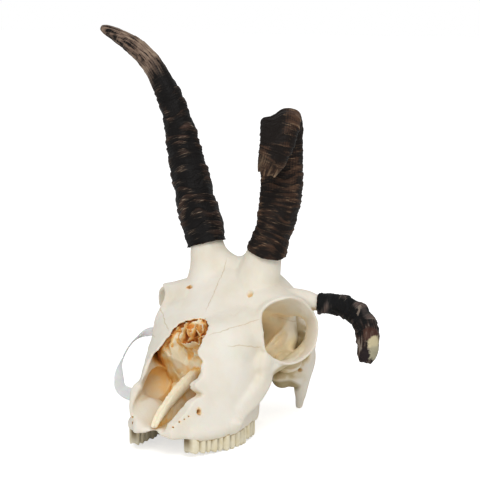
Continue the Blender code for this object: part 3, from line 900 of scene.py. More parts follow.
def write_values(ob, label, values):
    """Keep one number, or one vector, for each corner of the mesh."""
    kind, key = ("FLOAT", "value") if values.ndim == 1 else ("FLOAT_VECTOR", "vector")
    layer = ob.data.attributes.new(label, kind, "POINT")
    layer.data.foreach_set(key, values.ravel().astype(np.float32))


skin = skin_tree([bone])
bores = []
for only, middle, inwards, radius, depth in PEGS:
    for side in SIDES:
        if only in (0, side):
            bores.append((*peg_place(skin, middle, inwards, side), radius, depth))
carve(bone, [peg(*bore) for bore in bores])
bone = thin_out(bone, BONE_TRIANGLES)
# Inside each hole, from 0 at its mouth to 1 a little way down
places, bored = points_of(bone), 0.0
for start, aim, radius, depth in bores:
    from_start = places - np.array(start)
    way = from_start @ np.array(aim)
    off = np.linalg.norm(from_start - way[:, None] * np.array(aim), axis=1)
    inside = (off < radius * 1.25) * (way < depth)
    bored = np.maximum(bored, np.clip((way + 0.1) / (radius * 0.9), 0, 1) * inside)
write_values(bone, "bored", bored)
print("skull bone:", triangles(bone), "triangles,", len(bores), "holes")

# %% [markdown]
# ## How deep is each spot?
#
# The materials darken bone, teeth and scrolls the more closed in they are: painted shade, and in the
# nose also the bone's own brown and ochre stain. The material needs to know which corners are open and
# which closed in, from any side, so rays are sent out from sample points and the share that soon hits
# bone is stored on the mesh as a value called depth. A corner takes the mean of the nearest samples
# that face its own way, so a thin wall keeps the inner side's depth off its outer side. Faces that look
# down get a little more, as painted shade under them.

# %% Measure the depth of every corner
RAYS = 26
RAY_LENGTH = 42.0
SAMPLE_EVERY = 5
# Rays leave at least this steeply, and start this far outside
STEEP, CLEAR = 0.25, 0.4
# Of this many nearest samples, this many are used, if they face a corner's own way
NEAREST, USED, ALIKE = 16, 7, 0.35
# Painted shade: faces that look down count this much deeper, once they tilt down past this much
DOWNWARD_SHADE, DOWNWARD_FROM = 0.22, 0.15


def ray_directions(count):
    """Even directions over a sphere."""
    k = np.arange(count) + 0.5
    height = 1 - 2 * k / count
    turn = k * math.pi * (1 + 5 ** 0.5)
    flat = np.sqrt(1 - height ** 2)
    return np.stack([flat * np.cos(turn), flat * np.sin(turn), height], axis=1)


def place_tree(places):
    """A search tree of places."""
    tree = KDTree(len(places))
    for i, place in enumerate(places):
        tree.insert(place, i)
    tree.balance()
    return tree


def write_depth(ob, walls):
    """Store how closed in each corner is, from 0 in the open to 1 in a deep pocket."""
    points, outward = points_of(ob), normals_of(ob)
    chosen = np.arange(0, len(points), SAMPLE_EVERY)
    found = np.zeros(len(chosen))
    directions = ray_directions(RAYS * 2)
    for i, k in enumerate(chosen):
        ahead = directions[directions @ outward[k] > STEEP]
        start = Vector(points[k] + outward[k] * CLEAR)
        total = 0.0
        for direction in ahead:
            hit = walls.ray_cast(start, Vector(direction), RAY_LENGTH)
            if hit[0] is not None:
                total += 1 - hit[3] / RAY_LENGTH
        found[i] = total / len(ahead)
    tree = place_tree(points[chosen])
    facing, depth = outward[chosen], np.empty(len(points))
    for k, p in enumerate(points):
        near = [hit[1] for hit in tree.find_n(p, NEAREST)]
        same = [i for i in near if facing[i] @ outward[k] > ALIKE][:USED] or near[:1]
        depth[k] = found[same].mean()
    # Painted shade under faces that look down
    depth += DOWNWARD_SHADE * np.clip(-outward[:, 2] - DOWNWARD_FROM, 0, 1)
    write_values(ob, "depth", depth)
    return depth


# %% [markdown]
# ## Cheek teeth
#
# A sheep has six upper cheek teeth a side. Their outer face is a row of upright rounded columns,
# and the chewing face is a crest round a hollow. Each tooth is a grid bent round its outline and
# carried from the root over the crest into the hollow.

# %% Teeth: first y, last y, width, tip z, columns
TEETH = (
    (-2.5, 4.5, 7.5, 4.4, 1),
    (4.5, 13, 9.5, 3.6, 2),
    (13, 22.5, 11, 2.8, 2),
    (22.5, 34, 13, 1.7, 2),
    (34, 49, 13.5, 1.7, 3),
    (49, 66, 12.5, 3.2, 3),
)
# The outer face of the whole row: y, x
ARCADE = ((-4, 24), (4.5, 27.6), (13, 31.2), (22.5, 35), (34, 37.6), (49, 37.4), (66, 34))
ROOT_TOP = 17.0
COLUMN_DEPTH = 1.5
CUSP = 1.6
# Powers that make a tooth's outline squarer than an oval, and its columns rounder than a wave
SQUARE, ROUND = 0.55, 0.6
# Levels from the root to the middle of the chewing face: share of the way down, then size
CROWN = (
    (0, 0.95),
    (0.3, 1.0),
    (0.6, 1.0),
    (0.85, 0.99),
    (0.96, 0.92),
    (1.0, 0.78),
    (0.95, 0.6),
    (0.8, 0.45),
    (0.9, 0.3),
    (0.88, 0.02),
)


def tooth(first, last, width, tip, columns):
    """The points of one left tooth."""
    length, middle = last - first, (first + last) / 2
    outer = np.interp(middle, *zip(*ARCADE))
    turn = np.linspace(0, 2 * math.pi, 73)
    c, s = np.cos(turn), np.sin(turn)
    y = middle + np.sign(c) * np.abs(c) ** SQUARE * length * 0.515
    share = np.clip((y - first) / length, 0, 1)
    wave = np.abs(np.sin(math.pi * columns * share)) ** ROUND
    outside = np.clip(s * 3, 0, 1)
    x = outer - width / 2 + np.sign(s) * np.abs(s) ** SQUARE * width / 2
    x = x + outside * (wave - 0.75) * COLUMN_DEPTH - (1 - outside) * (wave - 0.6) * 0.7 * (s < 0)
    x = x + np.interp(y, *zip(*ARCADE)) - outer
    rings = []
    for down, size in smooth_rows(CROWN, 34, measured=2):
        z = ROOT_TOP + (tip - ROOT_TOP) * down - wave * CUSP * np.clip(down * 3 - 2, 0, 1) * (size > 0.5)
        ring_x = (x - (outer - width / 2)) * size + outer - width / 2
        ring_y = (y - middle) * (size if down > 0.99 else 0.7 + size * 0.3) + middle
        rings.append(np.stack([ring_x, ring_y, z], axis=1))
    return np.array(rings)


def tooth_row(name, side):
    """All cheek teeth of one side in one piece."""
    row = [bent_grid("tooth", tooth(*values) * (side, 1, 1)) for values in TEETH]
    return join(name, row)


def column_share(y):
    """1 in the grooves between columns and teeth, 0 on the columns."""
    groove = np.ones_like(y)
    for first, last, _, _, columns in TEETH:
        share = (y - first) / (last - first)
        inside = (share >= 0) & (share <= 1)
        groove[inside] = 1 - np.abs(np.sin(math.pi * columns * share[inside])) ** ROUND
    return groove


teeth_left, teeth_right = tooth_row("teeth_left", 1), tooth_row("teeth_right", -1)
for row in (teeth_left, teeth_right):
    write_values(row, "groove", column_share(points_of(row)[:, 1]))
print("teeth:", triangles(teeth_left), "triangles a side")

# %% [markdown]
# ## Inside the nose
#
# With the nasal bones gone the nose shows its inside: a keel of bone with two thin lips along the
# middle, and behind it a nest of paper-thin cells and scrolls that once carried the smelling skin.
# The cells are a grid pushed in wherever a cell pattern is far from its borders, and drawn out to a
# solid. The scrolls are flat tubes with a ragged front edge. Each is closed, and they are joined.

# %% The keel along the middle: x, y, z, half width, half height
KEEL = (
    (0, -10, 20.5, 2.3, 1.7),
    (0, -3, 26, 3.1, 2.9),
    (0, 5, 30.5, 3.0, 3.7),
    (0, 16.5, 36, 3.6, 4.3),
    (0, 32, 41.5, 4.0, 4.8),
    (0, 46, 44.5, 4.0, 5.0),
    (0, 54, 46, 4.0, 5.0),
)
KEEL_FOOT = ((0, -6, 20, 0.9, 4), (0, 6, 24, 0.9, 6), (0, 20, 29, 0.9, 9), (0, 54, 33, 0.9, 14))
KEEL_GROOVE, KEEL_GRAIN, KEEL_ROUGH = 1.5, 2.6, 0.8


def keel():
    """A rounded bar with a gutter along its top."""
    points = swept(KEEL, 110, 40)[0]
    _, y, z, width, _ = zip(*KEEL)
    middle, half = np.interp(points[..., 1], y, z), np.interp(points[..., 1], y, width)
    gutter = np.exp(-(points[..., 0] / half / 0.45) ** 2) * (points[..., 2] > middle)
    points[..., 2] += noise_at(points, KEEL_GRAIN, 4) * KEEL_ROUGH - gutter * KEEL_GROOVE
    return bent_grid("keel", points)


# %% Broken cells of thin bone behind the keel
# Along the curtain's slope, how far back, pit depth, half width
CELLS = (
    (44, -20, 1.0, 25),
    (52, -15, 1.5, 28),
    (60, -10, 2.0, 30),
    (68, -4, 2.5, 29),
    (74, 1, 4.5, 25),
    (80, 7, 5.5, 20),
    (86, 11, 5.0, 16.5),
    (92, 11.5, 4.0, 12.5),
    (95.5, 9.5, 3.0, 8),
)
# On the far side they come close behind the roof: along the slope, how far back; and reach this wide
FAR_WALL = ((44, -20), (56, -14), (62, -3), (66, 5.5), (71, 11), (78, 13), (86, 12), (92, 8.5), (96, 5))
FAR_HALF = 28
CELL_SIZE, CELL_STEP, CELL_BACK = 6.5, 0.4, 16
LUMP_GRAIN, WARP_GRAIN = 9, 5


def cells():
    """A lumpy wall with pits between thin crests, closed behind."""
    rows = smooth_rows(CELLS, round((CELLS[-1][0] - CELLS[0][0]) / CELL_STEP), measured=1)
    share = np.linspace(-1, 1, 130)
    x = share * np.where(share < 0, np.maximum(rows[:, 3, None], FAR_HALF), rows[:, 3, None])
    t, back, pit = (rows[:, k, None] + 0 * x for k in range(3))
    lump = noise_at(np.stack([x, t, np.full_like(x, 2)], -1), LUMP_GRAIN, 3)
    warp = noise_at(np.stack([x, t, np.full_like(x, 7)], -1), WARP_GRAIN, 8)
    crest = np.empty(x.shape)
    for place in np.ndindex(x.shape):
        spot = Vector((x[place] + warp[place] * 3, t[place] * 0.8, 1.0 + warp[place])) / CELL_SIZE
        near = noise.voronoi(spot)[0]
        crest[place] = near[1] - near[0]
    shape = back + lump * 2.5 - pit * np.clip(crest / 0.35, 0, 1) ** 0.7 + warp * 0.8
    shape -= np.clip((t - 80) / 10, 0, 1) * (x / 12) ** 2 * 4 * (x > 0)
    far = np.clip(-(x + 6) / 8, 0, 1)
    far_shape = np.interp(t, *zip(*FAR_WALL)) + lump * 2 - pit * 0.5 * (crest > 0.3)
    shape = shape * (1 - far) + far * far_shape - np.clip(-21 - x, 0, None) * 0.9
    return drawn_out(bent_grid("cells", on_curtain(x, t, shape), fill=False), CURTAIN_OUT * -CELL_BACK)


# %% Plates that stand on edge before the cells: x, y, z, half width, half thickness
PLATES = (
    ((-13, 43, 76, 2.4, 0.45), (-14, 41, 70, 4.0, 0.45), (-16, 39, 63, 3.0, 0.45)),
    ((-6, 44, 79, 2.4, 0.45), (-8, 42, 72, 4.0, 0.45), (-9, 41, 65, 2.4, 0.45)),
    ((1, 44, 79, 2.4, 0.45), (0, 42, 73, 3.6, 0.45), (-3, 41, 66, 3.0, 0.45)),
    ((6, 44, 79, 2.4, 0.45), (8, 41, 73, 4.0, 0.45), (6, 39, 66, 3.0, 0.45)),
    ((11, 42, 77, 2.0, 0.45), (13, 38, 71, 3.6, 0.45), (14, 33, 64, 3.0, 0.45)),
    ((-14, 41, 67, 2.0, 0.45), (-5, 40, 64, 3.6, 0.45), (4, 40, 67, 2.4, 0.45)),
    ((2, 42, 75, 2.0, 0.45), (8, 40, 71, 3.0, 0.45), (14, 37, 73, 2.0, 0.45)),
)


def plate(rows, seed):
    """A thin plate of bone with a ragged, crumpled free edge."""
    points = swept(rows, 46, 40, across=CURTAIN_OUT)[0]
    bend, torn = noise_at(points, 5, seed * 11), noise_at(points.mean(1), 1.7, seed * 5)
    centre = points.mean(1, keepdims=True)
    free = np.clip((points - centre) @ CURTAIN_OUT, 0, None)
    points = points + CURTAIN_OUT * (free * torn[:, None] * 0.9)[..., None]
    points = points + np.array((1, 0, 0)) * (bend * 1.6)[..., None]
    return bent_grid("plate", points)


nose_parts = [keel(), tube("keel foot", KEEL_FOOT), cells()]
nose_parts += [plate(rows, seed) for seed, rows in enumerate(PLATES)]
scrolls = join("nasal_scrolls", nose_parts)
print("nasal scrolls:", triangles(scrolls), "triangles")

# %% Measure how closed in the bone, the teeth and the scrolls are
WALLS = skin_tree([bone, scrolls])
for piece in (bone, scrolls, teeth_left, teeth_right):
    depth = write_depth(piece, WALLS)
    print(piece.name, "depth: middle", round(np.median(depth), 2), "deepest", round(depth.max(), 2))

# %% [markdown]
# ## Horn sheaths
#
# Horn grows from its base in rings, like a stack of cones, and each ring's edge stands a little
# proud of the next. The sheaths are swept ovals with dense rows. Their relief is worked out from
# the distance along the horn: broad swellings, finer rings on top, and wandering noise so that no
# two rings are the same. The distance and the relief are kept on the mesh for the material.

# %% Paths of the horns: x, y, z, half width across the view, half width along it
HORN_RIGHT = (
    (-21.4, 97.4, 119, 13.5, 14.5),
    (-24, 98.6, 124.3, 13.8, 14.5),
    (-31, 103.4, 138.4, 14.6, 14.5),
    (-38.4, 108, 152.2, 14, 14),
    (-44.3, 112, 166.2, 13.6, 13.4),
    (-50.5, 116, 180.2, 12.8, 12.6),
    (-56.2, 119, 194.4, 11.7, 11.6),
    (-61.4, 121, 208.6, 10.5, 10.6),
    (-67.7, 122.5, 222.6, 9.2, 9.6),
    (-75.5, 123, 235.8, 8.1, 8.8),
    (-84.3, 122.5, 248.6, 7.5, 8),
    (-95.6, 121, 259.2, 7, 6.8),
    (-108.9, 119, 267.4, 5.6, 5.2),
    (-119, 117.5, 272, 3.9, 3.6),
    (-123, 117, 273.6, 2, 2),
)
HORN_LEFT = (
    (23.4, 97.8, 119, 13.7, 14.7),
    (25, 98.5, 124.3, 13.6, 14.5),
    (27.6, 101.8, 136, 12.6, 13.6),
    (30, 105.5, 150, 14, 13),
    (30, 109, 162, 14.6, 12),
    (29, 112, 174, 14.7, 11),
    (28.5, 114, 187, 14.7, 10),
    (28.5, 114.5, 200, 14.3, 9),
    (31, 109.5, 210.5, 13.8, 8),
    (35, 100, 214, 13.6, 7.4),
    (40, 90, 211.5, 13.4, 7.2),
    (41.8, 83.7, 203, 12.4, 7.2),
    (40, 80.5, 192, 10.4, 6.4),
    (37.4, 79, 184, 8.2, 5.6),
    (36, 78.3, 179.5, 6.2, 4.8),
)
# The fold at the top of the left horn stands higher at its outer side: half its width, the heights
# between which it starts to tilt, and the rise outside and dip inside
FOLD_HALF = 13.5
FOLD_HEIGHTS = (198, 209)
FOLD_TILT = (1.6, 3.2)
HORN_SIDE = (
    (56, 106, 88, 6.8, 6.8),
    (60.5, 107.5, 88, 7.0, 7.0),
    (68, 109.5, 88, 7.2, 7.2),
    (77, 110, 87.5, 7.6, 7.8),
    (86, 108.5, 84.5, 7.8, 8),
    (95, 104.5, 80, 8, 8.2),
    (101.5, 99.5, 73, 8, 8.2),
    (104.5, 94.5, 65.5, 7.4, 7.6),
    (105, 91, 59, 6.4, 6.4),
    (104.5, 89.5, 54.5, 4.2, 4.2),
)
ACROSS_VIEW = (0.87, 0.5, 0)
# Where each sheath meets its core: a point and the direction of the horn there
SEATS = {
    "horn_upper_left": ((25, 98, 122.8), (0.30, -0.08, 0.95)),
    "horn_upper_right": ((-25, 98, 124.3), (-0.28, 0.06, 0.96)),
    "horn_side_left": ((60.5, 107.5, 88), (0.97, 0.24, -0.02)),
}

# %% Growth rings
ROW_STEP = 0.42
AROUND = 132
# Grain of the noise that shifts the rings, makes them waver, and swells the horn, in mm
DRIFT_SIZE, WAVER_SIZE, LUMP_SIZE = 16, 5, 9


def saw(phase):
    """A ring's profile: a slow rise and a quick fall."""
    share = phase % 1.0
    return share ** 1.4 * (1 - np.clip((share - 0.8) / 0.2, 0, 1) ** 2)


def ring_relief(points, along, broad, fine, lumps, seed):
    """Height of the skin: broad swellings with finer rings on them, no two the same."""
    drift, waver = noise_at(points, DRIFT_SIZE, seed), noise_at(points, WAVER_SIZE, seed + 9)
    lump = noise_at(points, LUMP_SIZE, seed + 20)
    patchy = 0.55 + 0.45 * np.clip(lump * 2 + 0.5, 0, 1)
    broad_ring = saw(along / broad[0] + drift * 1.1) * broad[1] * patchy
    fine_ring = saw(along / fine[0] + drift * 2.4 + waver * 0.35) * fine[1]
    return broad_ring + fine_ring + lump * lumps + waver * 0.12


# %% Both ends of a sheath
TORN_LENGTH = 9
# The hollow in a torn end: size of the ring, and how far back it lies
END_HOLLOW = ((0.86, 0.2), (0.7, 2.6), (0.4, 4.0), (0.02, 4.4))
# The foot: rows that can be cut, and the grain and height of its ragged edge
FOOT_ROWS, FOOT_GRAIN, FOOT_RAGGED = 40, 3, 0.7


def torn_end(points, along, reach, tear, seed):
    """Pull the end out into splinters and close it with a shallow hollow."""
    turn = np.linspace(0, 2 * math.pi, AROUND + 1)
    jag = np.array([noise.noise(Vector((math.cos(t) * 1.5, math.sin(t) * 1.5, seed))) for t in turn])
    jag[-1] = jag[0]
    ahead = unit(points[-1].mean(0) - points[-12].mean(0))
    pull = np.clip((along - (reach - TORN_LENGTH)) / TORN_LENGTH, 0, 1) ** 2 * jag * tear
    points = points + ahead * pull[..., None]
    centre = points[-1].mean(0)
    inner = [centre + (points[-1] - centre) * size - ahead * back for size, back in END_HOLLOW]
    return np.concatenate([points, np.array(inner)])


def seat(points, name, seed):
    """Cut the foot off where the sheath meets its core, a little ragged."""
    middle, direction = SEATS[name]
    direction = unit(np.array(direction, float))
    foot = points[:FOOT_ROWS]
    above = (foot - np.array(middle, float)) @ direction
    lift = np.maximum(0, noise_at(foot, FOOT_GRAIN, seed) * FOOT_RAGGED - above)
    foot += direction * lift[..., None]


def tilt_fold(points, across):
    """Raise the outer side of the left horn's fold and press a dip beside it."""
    sideways = (points - points.mean(1, keepdims=True)) @ np.array(across) / FOLD_HALF
    high = np.interp(points[..., 2], FOLD_HEIGHTS, (0, 1))
    rise, dip = FOLD_TILT
    points[..., 2] += high * (rise * sideways - dip * np.exp(-((sideways + 0.45) / 0.4) ** 2))


# %% What the material needs to know of a horn
PATH_ROWS = 600


def write_horn_values(ob, rows, across, reach):
    """Store the share of the way along, the height over the smooth horn, and the place on it in mm."""
    places = points_of(ob)
    path = smooth_rows(rows, PATH_ROWS)[:, :3]
    tree = place_tree(path)
    near = np.array([tree.find(p)[1] for p in places])
    distance = near / (PATH_ROWS - 1) * reach
    out = places - path[near]
    ring = swept(rows, PATH_ROWS, 48, across)[0] - path[:, None]
    facing = np.argmax(np.einsum("nkc,nc->nk", unit(ring)[near], out), axis=1)
    write_values(ob, "along", distance / reach)
    write_values(ob, "relief", np.linalg.norm(out, axis=1) - np.linalg.norm(ring[near, facing], axis=1))
    side_way = unit(np.array(across, float))
    front_way = np.array((-side_way[1], side_way[0], 0.3))
    write_values(ob, "unrolled", np.stack([out @ side_way, out @ front_way, distance], axis=1))


# %% The three sheaths
def sheath(name, rows, across, broad, fine, lumps, tear, smooth_from):
    """A ringed horn sheath.

    broad and fine are rings, each a spacing and a height; lumps is a height and tear a length. Past
    smooth_from, a share of the length, the rings fade.
    """
    reach = path_length(rows)
    count, seed = round(reach / ROW_STEP), len(name)
    points, outward = swept(rows, count, AROUND, across)
    along = np.linspace(0, reach, count)[:, None] * np.ones(AROUND + 1)
    fade = np.clip((reach - along) / 14, 0.15, 1) * np.clip(along / 4, 0.2, 1)
    fade = fade * np.clip(1 - (along / reach - smooth_from) / 0.12, 0.3, 1)
    relief = ring_relief(points, along, broad, fine, lumps, seed)
    points = points + outward * ((relief - broad[1] * 0.5) * fade)[..., None]
    if tear:
        points = torn_end(points, along, reach, tear, seed)
    seat(points, name, seed)
    if name == "horn_upper_left":
        tilt_fold(points, across)
    ob = bent_grid(name, points)
    write_horn_values(ob, rows, across, reach)
    print(name, triangles(ob), "triangles,", round(reach), "mm along")
    return ob


horn_right = sheath("horn_upper_right", HORN_RIGHT, ACROSS_VIEW, (8.0, 1.3), (2.3, 0.36), 1.0, 0, 0.6)
horn_left = sheath("horn_upper_left", HORN_LEFT, ACROSS_VIEW, (5.8, 0.9), (1.9, 0.4), 0.6, 2.6, 2)
horn_side = sheath("horn_side_left", HORN_SIDE, (0, 1, 0.2), (9.0, 1.2), (1.8, 0.3), 1.5, 0.8, 2)

# %% [markdown]
# ## The plastic band
#
# A milky strip of soft plastic hangs in a loop through the right eye socket. It lies flat in some
# stretches and shows its edge in others, so its table gives both the route and the direction of
# its width, and the strip turns between them.

# %% Route: x, y, z, the direction of the width, and the width
BAND = (
    (-59, 81, 61, 0.1, 0.2, 1.0, 6.2),
    (-70, 78, 55.5, 0.5, -0.8, 0.4, 6.2),
    (-77, 77, 48.5, 0.5, -0.85, 0.16, 6.4),
    (-82.5, 77, 39, 0.55, -0.8, 0.16, 6.6),
    (-85.2, 77, 31, 0.8, -0.3, 0.1, 6.9),
    (-86, 77, 24, 0.87, 0.35, 0, 7.2),
    (-85, 78, 16.5, 0.75, 0.45, 0.45, 8.4),
    (-77, 80, 12.5, 0.25, 0.3, 0.95, 9.4),
    (-68, 83, 14, 0, 0.3, 1.0, 8.6),
    (-55, 89, 21, -0.3, 0.3, 0.8, 7),
    (-46, 94, 34, -0.6, 0.6, 0.2, 6.6),
    (-45, 94, 50, -0.5, 0.7, -0.2, 6.4),
    (-50, 89, 59, -0.3, 0.7, 0.5, 6.2),
)
BAND_THICK, BAND_RIBS, RIB_HEIGHT = 1.1, 5, 0.16
BAND_ROWS, BAND_SIDES = 260, 60


def band():
    """A closed strip with rounded edges and low ribs along it."""
    path = smooth_rows(BAND, BAND_ROWS, closed=True)
    centre = path[:, :3]
    ahead = unit(np.roll(centre[:-1], -1, 0) - np.roll(centre[:-1], 1, 0))
    ahead = np.vstack([ahead, ahead[:1]])
    wide, width = path[:, 3:6], path[:, 6, None, None]
    wide = unit(wide - ahead * np.sum(wide * ahead, axis=1, keepdims=True))
    thick = np.cross(ahead, wide)
    turn = np.linspace(0, 2 * math.pi, BAND_SIDES + 1)
    across = np.sign(np.cos(turn)) * np.abs(np.cos(turn)) ** 0.7 / 2
    up = np.sign(np.sin(turn)) * np.abs(np.sin(turn)) ** 0.4 * BAND_THICK / 2
    up = up * (1 + RIB_HEIGHT * np.cos(across * 2 * math.pi * BAND_RIBS))
    points = centre[:, None] + wide[:, None] * across[:, None] * width
    return bent_grid("tag_strip", points + thick[:, None] * up[:, None])


strip = band()
print("band:", triangles(strip), "triangles")

# %% [markdown]
# ## Materials
#
# Every colour is written as the hex value a painter would pick and turned to the linear light that
# the shader works in. One function adds a node: a value may be a number, a colour or another node,
# which is then linked. Object coordinates are turned back to skull millimetres, so each pattern's
# size is a real size.

# %% Colours and nodes
def linear(code):
    """The linear colour of an sRGB hex value."""
    parts = [int(code[k:k + 2], 16) / 255 for k in (1, 3, 5)]
    return (*[p / 12.92 if p <= 0.04045 else ((p + 0.055) / 1.055) ** 2.4 for p in parts], 1.0)


def fill(tree, node, values):
    """Set a node's inputs: numbers and colours are set, nodes and their sockets are linked."""
    for key, value in values.items():
        if isinstance(value, bpy.types.Node):
            value = next(result for result in value.outputs if result.enabled)
        if isinstance(value, bpy.types.NodeSocket):
            tree.links.new(value, node.inputs[key])
        else:
            node.inputs[key].default_value = linear(value) if isinstance(value, str) else value


def put(tree, kind, values=(), stops=(), **settings):
    """Add a node with its settings and inputs; stops fill a colour ramp."""
    node = tree.nodes.new("ShaderNode" + kind)
    for key, value in settings.items():
        setattr(node, key, value)
    fill(tree, node, dict(values))
    for i, (place, code) in enumerate(stops):
        ramp = node.color_ramp.elements
        element = ramp[i] if i < 2 else ramp.new(place)
        element.position = place
        element.color = linear(code) if isinstance(code, str) else (code, code, code, 1.0)
    return node


def per_mm(sizes):
    """The scale of a pattern whose grain has these sizes."""
    return tuple(1 / size for size in sizes)


# Sockets of the Mix node when it mixes colours
SHARE, UNDER, OVER = 0, 6, 7


def blank(name):
    """A new material, its node tree and shader, and skull coordinates in millimetres."""
    material = bpy.data.materials.new(name)
    material.use_nodes = True
    tree = material.node_tree
    place = put(tree, "TexCoord").outputs["Object"]
    mm = put(tree, "Mapping", {"Vector": place, "Location": tuple(-SKULL_ORIGIN), "Scale": (1 / MM,) * 3})
    return material, tree, tree.nodes["Principled BSDF"], mm


# %% [markdown]
# ### Bone
#
# Boiled and dried bone is a pale cream with yellower clouds where fat stayed in it. Its sutures
# are hair-thin wandering joints, tan against the cream. Where the measured depth is high the colour
# darkens as painted shade: tan in and under the eye sockets, under the ear, on the cheek arch and in
# the temple, and ochre and brown inside the nose, where it is partly the bone's own stain.

# %% The pale ground with its yellower clouds, sizes in mm
BROAD_CLOUD, CLOUD = 24, 7
BONE_GROUND = ((0.35, "#eae4d8"), (0.68, "#e1d9c8"))
CLOUD_STRENGTH = ((0.5, 0.0), (0.85, 0.14))
bone_material, tree, bone_shader, mm = blank("dried_bone")
broad = put(tree, "TexNoise", {"Vector": mm, "Scale": 1 / BROAD_CLOUD, "Detail": 3.0})
clouds = put(tree, "TexNoise", {"Vector": mm, "Scale": 1 / CLOUD, "Detail": 5.0, "Roughness": 0.6})
base = put(tree, "ValToRGB", {"Fac": broad}, BONE_GROUND)
cloudy = put(tree, "ValToRGB", {"Fac": clouds}, CLOUD_STRENGTH)
colour = put(tree, "Mix", {SHARE: cloudy, UNDER: base, OVER: "#e4d5ae"}, data_type="RGBA")

# %% Painted shade and stains by depth: first in the open, then in places that are soft ellipsoids
# Painted shade: the bone darkens and browns the more closed in it is
OPEN_SHADE = ((0.0, "#ffffff"), (0.3, "#fffdf8"), (0.5, "#efe3c8"), (0.7, "#d6c094"), (0.92, "#a08458"))
# Each place has a middle, radii, the depth where its colour sets in, and colours by depth: under the
# eye socket, the socket, its roof, the ear, the cheek arch, the temple and the nose. All of it is
# painted shade, on the lower faces for the ear and the cheek arch; in the nose painted shade lies
# together with the bone's own ochre stain
STAINS_AND_SHADES = (
    ((44, 100, 40), (24, 38, 20), 0.04,
     ((0.05, "#efe5cd"), (0.2, "#d6c49c"), (0.4, "#b8a479"), (0.7, "#977f55"))),
    ((40, 88, 70), (26, 24, 24), 0.25,
     ((0.0, "#efe7d6"), (0.3, "#f4e6c6"), (0.5, "#f8e3bb"), (0.7, "#f9dcae"), (0.88, "#f0cb9a"))),
    ((46, 88, 88), (20, 24, 12), 0.25, ((0.25, "#ece0c8"), (0.5, "#dcbf92"), (0.8, "#cda878"))),
    ((27, 114, 22), (13, 15, 7.5), -0.5, ((0.0, "#b5a47c"), (0.4, "#8a784f"))),
    ((48, 85, 46.5), (8, 21, 5), -0.5, ((0.0, "#d2c19b"), (0.35, "#a8946a"))),
    ((38, 124, 66), (10, 14, 12), 0.02, ((0.0, "#d6c6a6"), (0.3, "#b5a078"))),
    ((0, 42, 52), (36, 36, 34), 0.3,
     ((0.0, "#f2eadb"), (0.35, "#f3dab0"), (0.5, "#f0c680"), (0.65, "#e9ad58"), (0.85, "#d58a38"))),
)
STAIN_AND_SHADE_SOFTNESS = 0.2
split = put(tree, "SeparateXYZ", {"Vector": mm})
apart = put(tree, "Math", {0: split.outputs["X"]}, operation="ABSOLUTE")
# The same on both sides: x is the distance from the skull's middle
folded = put(tree, "CombineXYZ", {"X": apart, "Y": split.outputs["Y"], "Z": split.outputs["Z"]})


def within(tree, place, middle, radii):
    """1 inside an ellipsoid, fading to 0 just outside it."""
    centre = tuple(-m / r for m, r in zip(middle, radii))
    scaled = put(tree, "Mapping", {"Vector": place, "Location": centre, "Scale": per_mm(radii)})
    away = put(tree, "VectorMath", {0: scaled}, operation="LENGTH")
    return put(tree, "MapRange", {"Value": away, "From Min": 1.12, "From Max": 0.88})


uneven = put(tree, "MapRange", {"Value": clouds, "To Min": -0.07, "To Max": 0.07})
measured = put(tree, "Attribute", attribute_name="depth").outputs["Fac"]
level = put(tree, "Math", {0: measured, 1: uneven}, operation="ADD")
open_shade_ramp = put(tree, "ValToRGB", {"Fac": level}, OPEN_SHADE)
layers = {SHARE: 1.0, UNDER: colour, OVER: open_shade_ramp}
colour = put(tree, "Mix", layers, data_type="RGBA", blend_type="MULTIPLY")
# Lay each place's painted shade, in the nose stain and painted shade, over the colour so far
for middle, radii, start, stops in STAINS_AND_SHADES:
    inside = within(tree, folded, middle, radii)
    ramp = put(tree, "ValToRGB", {"Fac": level}, stops)
    strong = put(tree, "MapRange", {"Value": level, "From Min": start, "From Max": start + STAIN_AND_SHADE_SOFTNESS})
    share = put(tree, "Math", {0: inside, 1: strong}, operation="MULTIPLY")
    colour = put(tree, "Mix", {SHARE: share, UNDER: colour, OVER: ramp}, data_type="RGBA")
print("places with a stain of their own:", len(STAINS_AND_SHADES))

# %% Painted shade in the small holes, brown and darker further down
HOLE_SHADE = ((0.1, "#edd9b2"), (0.6, "#dcae72"), (1.0, "#ad7641"))
hole = put(tree, "Attribute", attribute_name="bored").outputs["Fac"]
hole_shade_ramp = put(tree, "ValToRGB", {"Fac": hole}, HOLE_SHADE)
hole_shade_share = put(tree, "MapRange", {"Value": hole, "From Min": 0.02, "From Max": 0.3})
colour = put(tree, "Mix", {SHARE: hole_shade_share, UNDER: colour, OVER: hole_shade_ramp}, data_type="RGBA")

# %% Sutures: direction of the line's plane, its distance, middle and reach of the stretch shown
SUTURES = (
    ((1, 0, 0.15), 12.75, (0, 80, 95), 27),
    ((0.518, -0.2, -0.83), -60.6, (28, 48, 79), 20),
    ((0.353, -0.365, -0.863), -62.1, (33, 49, 64), 14),
    ((0, 1, 0.15), 123.0, (20, 112, 100), 30),
    ((0.2, 0.15, 1), 97.0, (34, 128, 74), 26),
    ((0, 0.9, 0.45), 165.0, (14, 146, 86), 26),
    ((0, 1, 0.1), 110.0, (54, 104, 54), 12),
    ((0, 1, 0), 118.0, (0, 118, 32), 16),
)
SUTURE_WIDTH, SUTURE_WANDER, WANDER_SIZE = 0.42, 1.3, 3.5
SUTURE_STRENGTH = 0.5
jitter = put(tree, "TexNoise", {"Vector": mm, "Scale": 1 / WANDER_SIZE, "Detail": 3.0})
centred = put(tree, "VectorMath", {0: jitter.outputs["Color"], 1: (-0.5,) * 3}, operation="ADD")
wander = put(tree, "VectorMath", {0: centred, "Scale": SUTURE_WANDER * 2}, operation="SCALE")
wavy = put(tree, "VectorMath", {0: folded, 1: wander}, operation="ADD")
middle_wavy = put(tree, "VectorMath", {0: mm, 1: wander}, operation="ADD")
joints = None
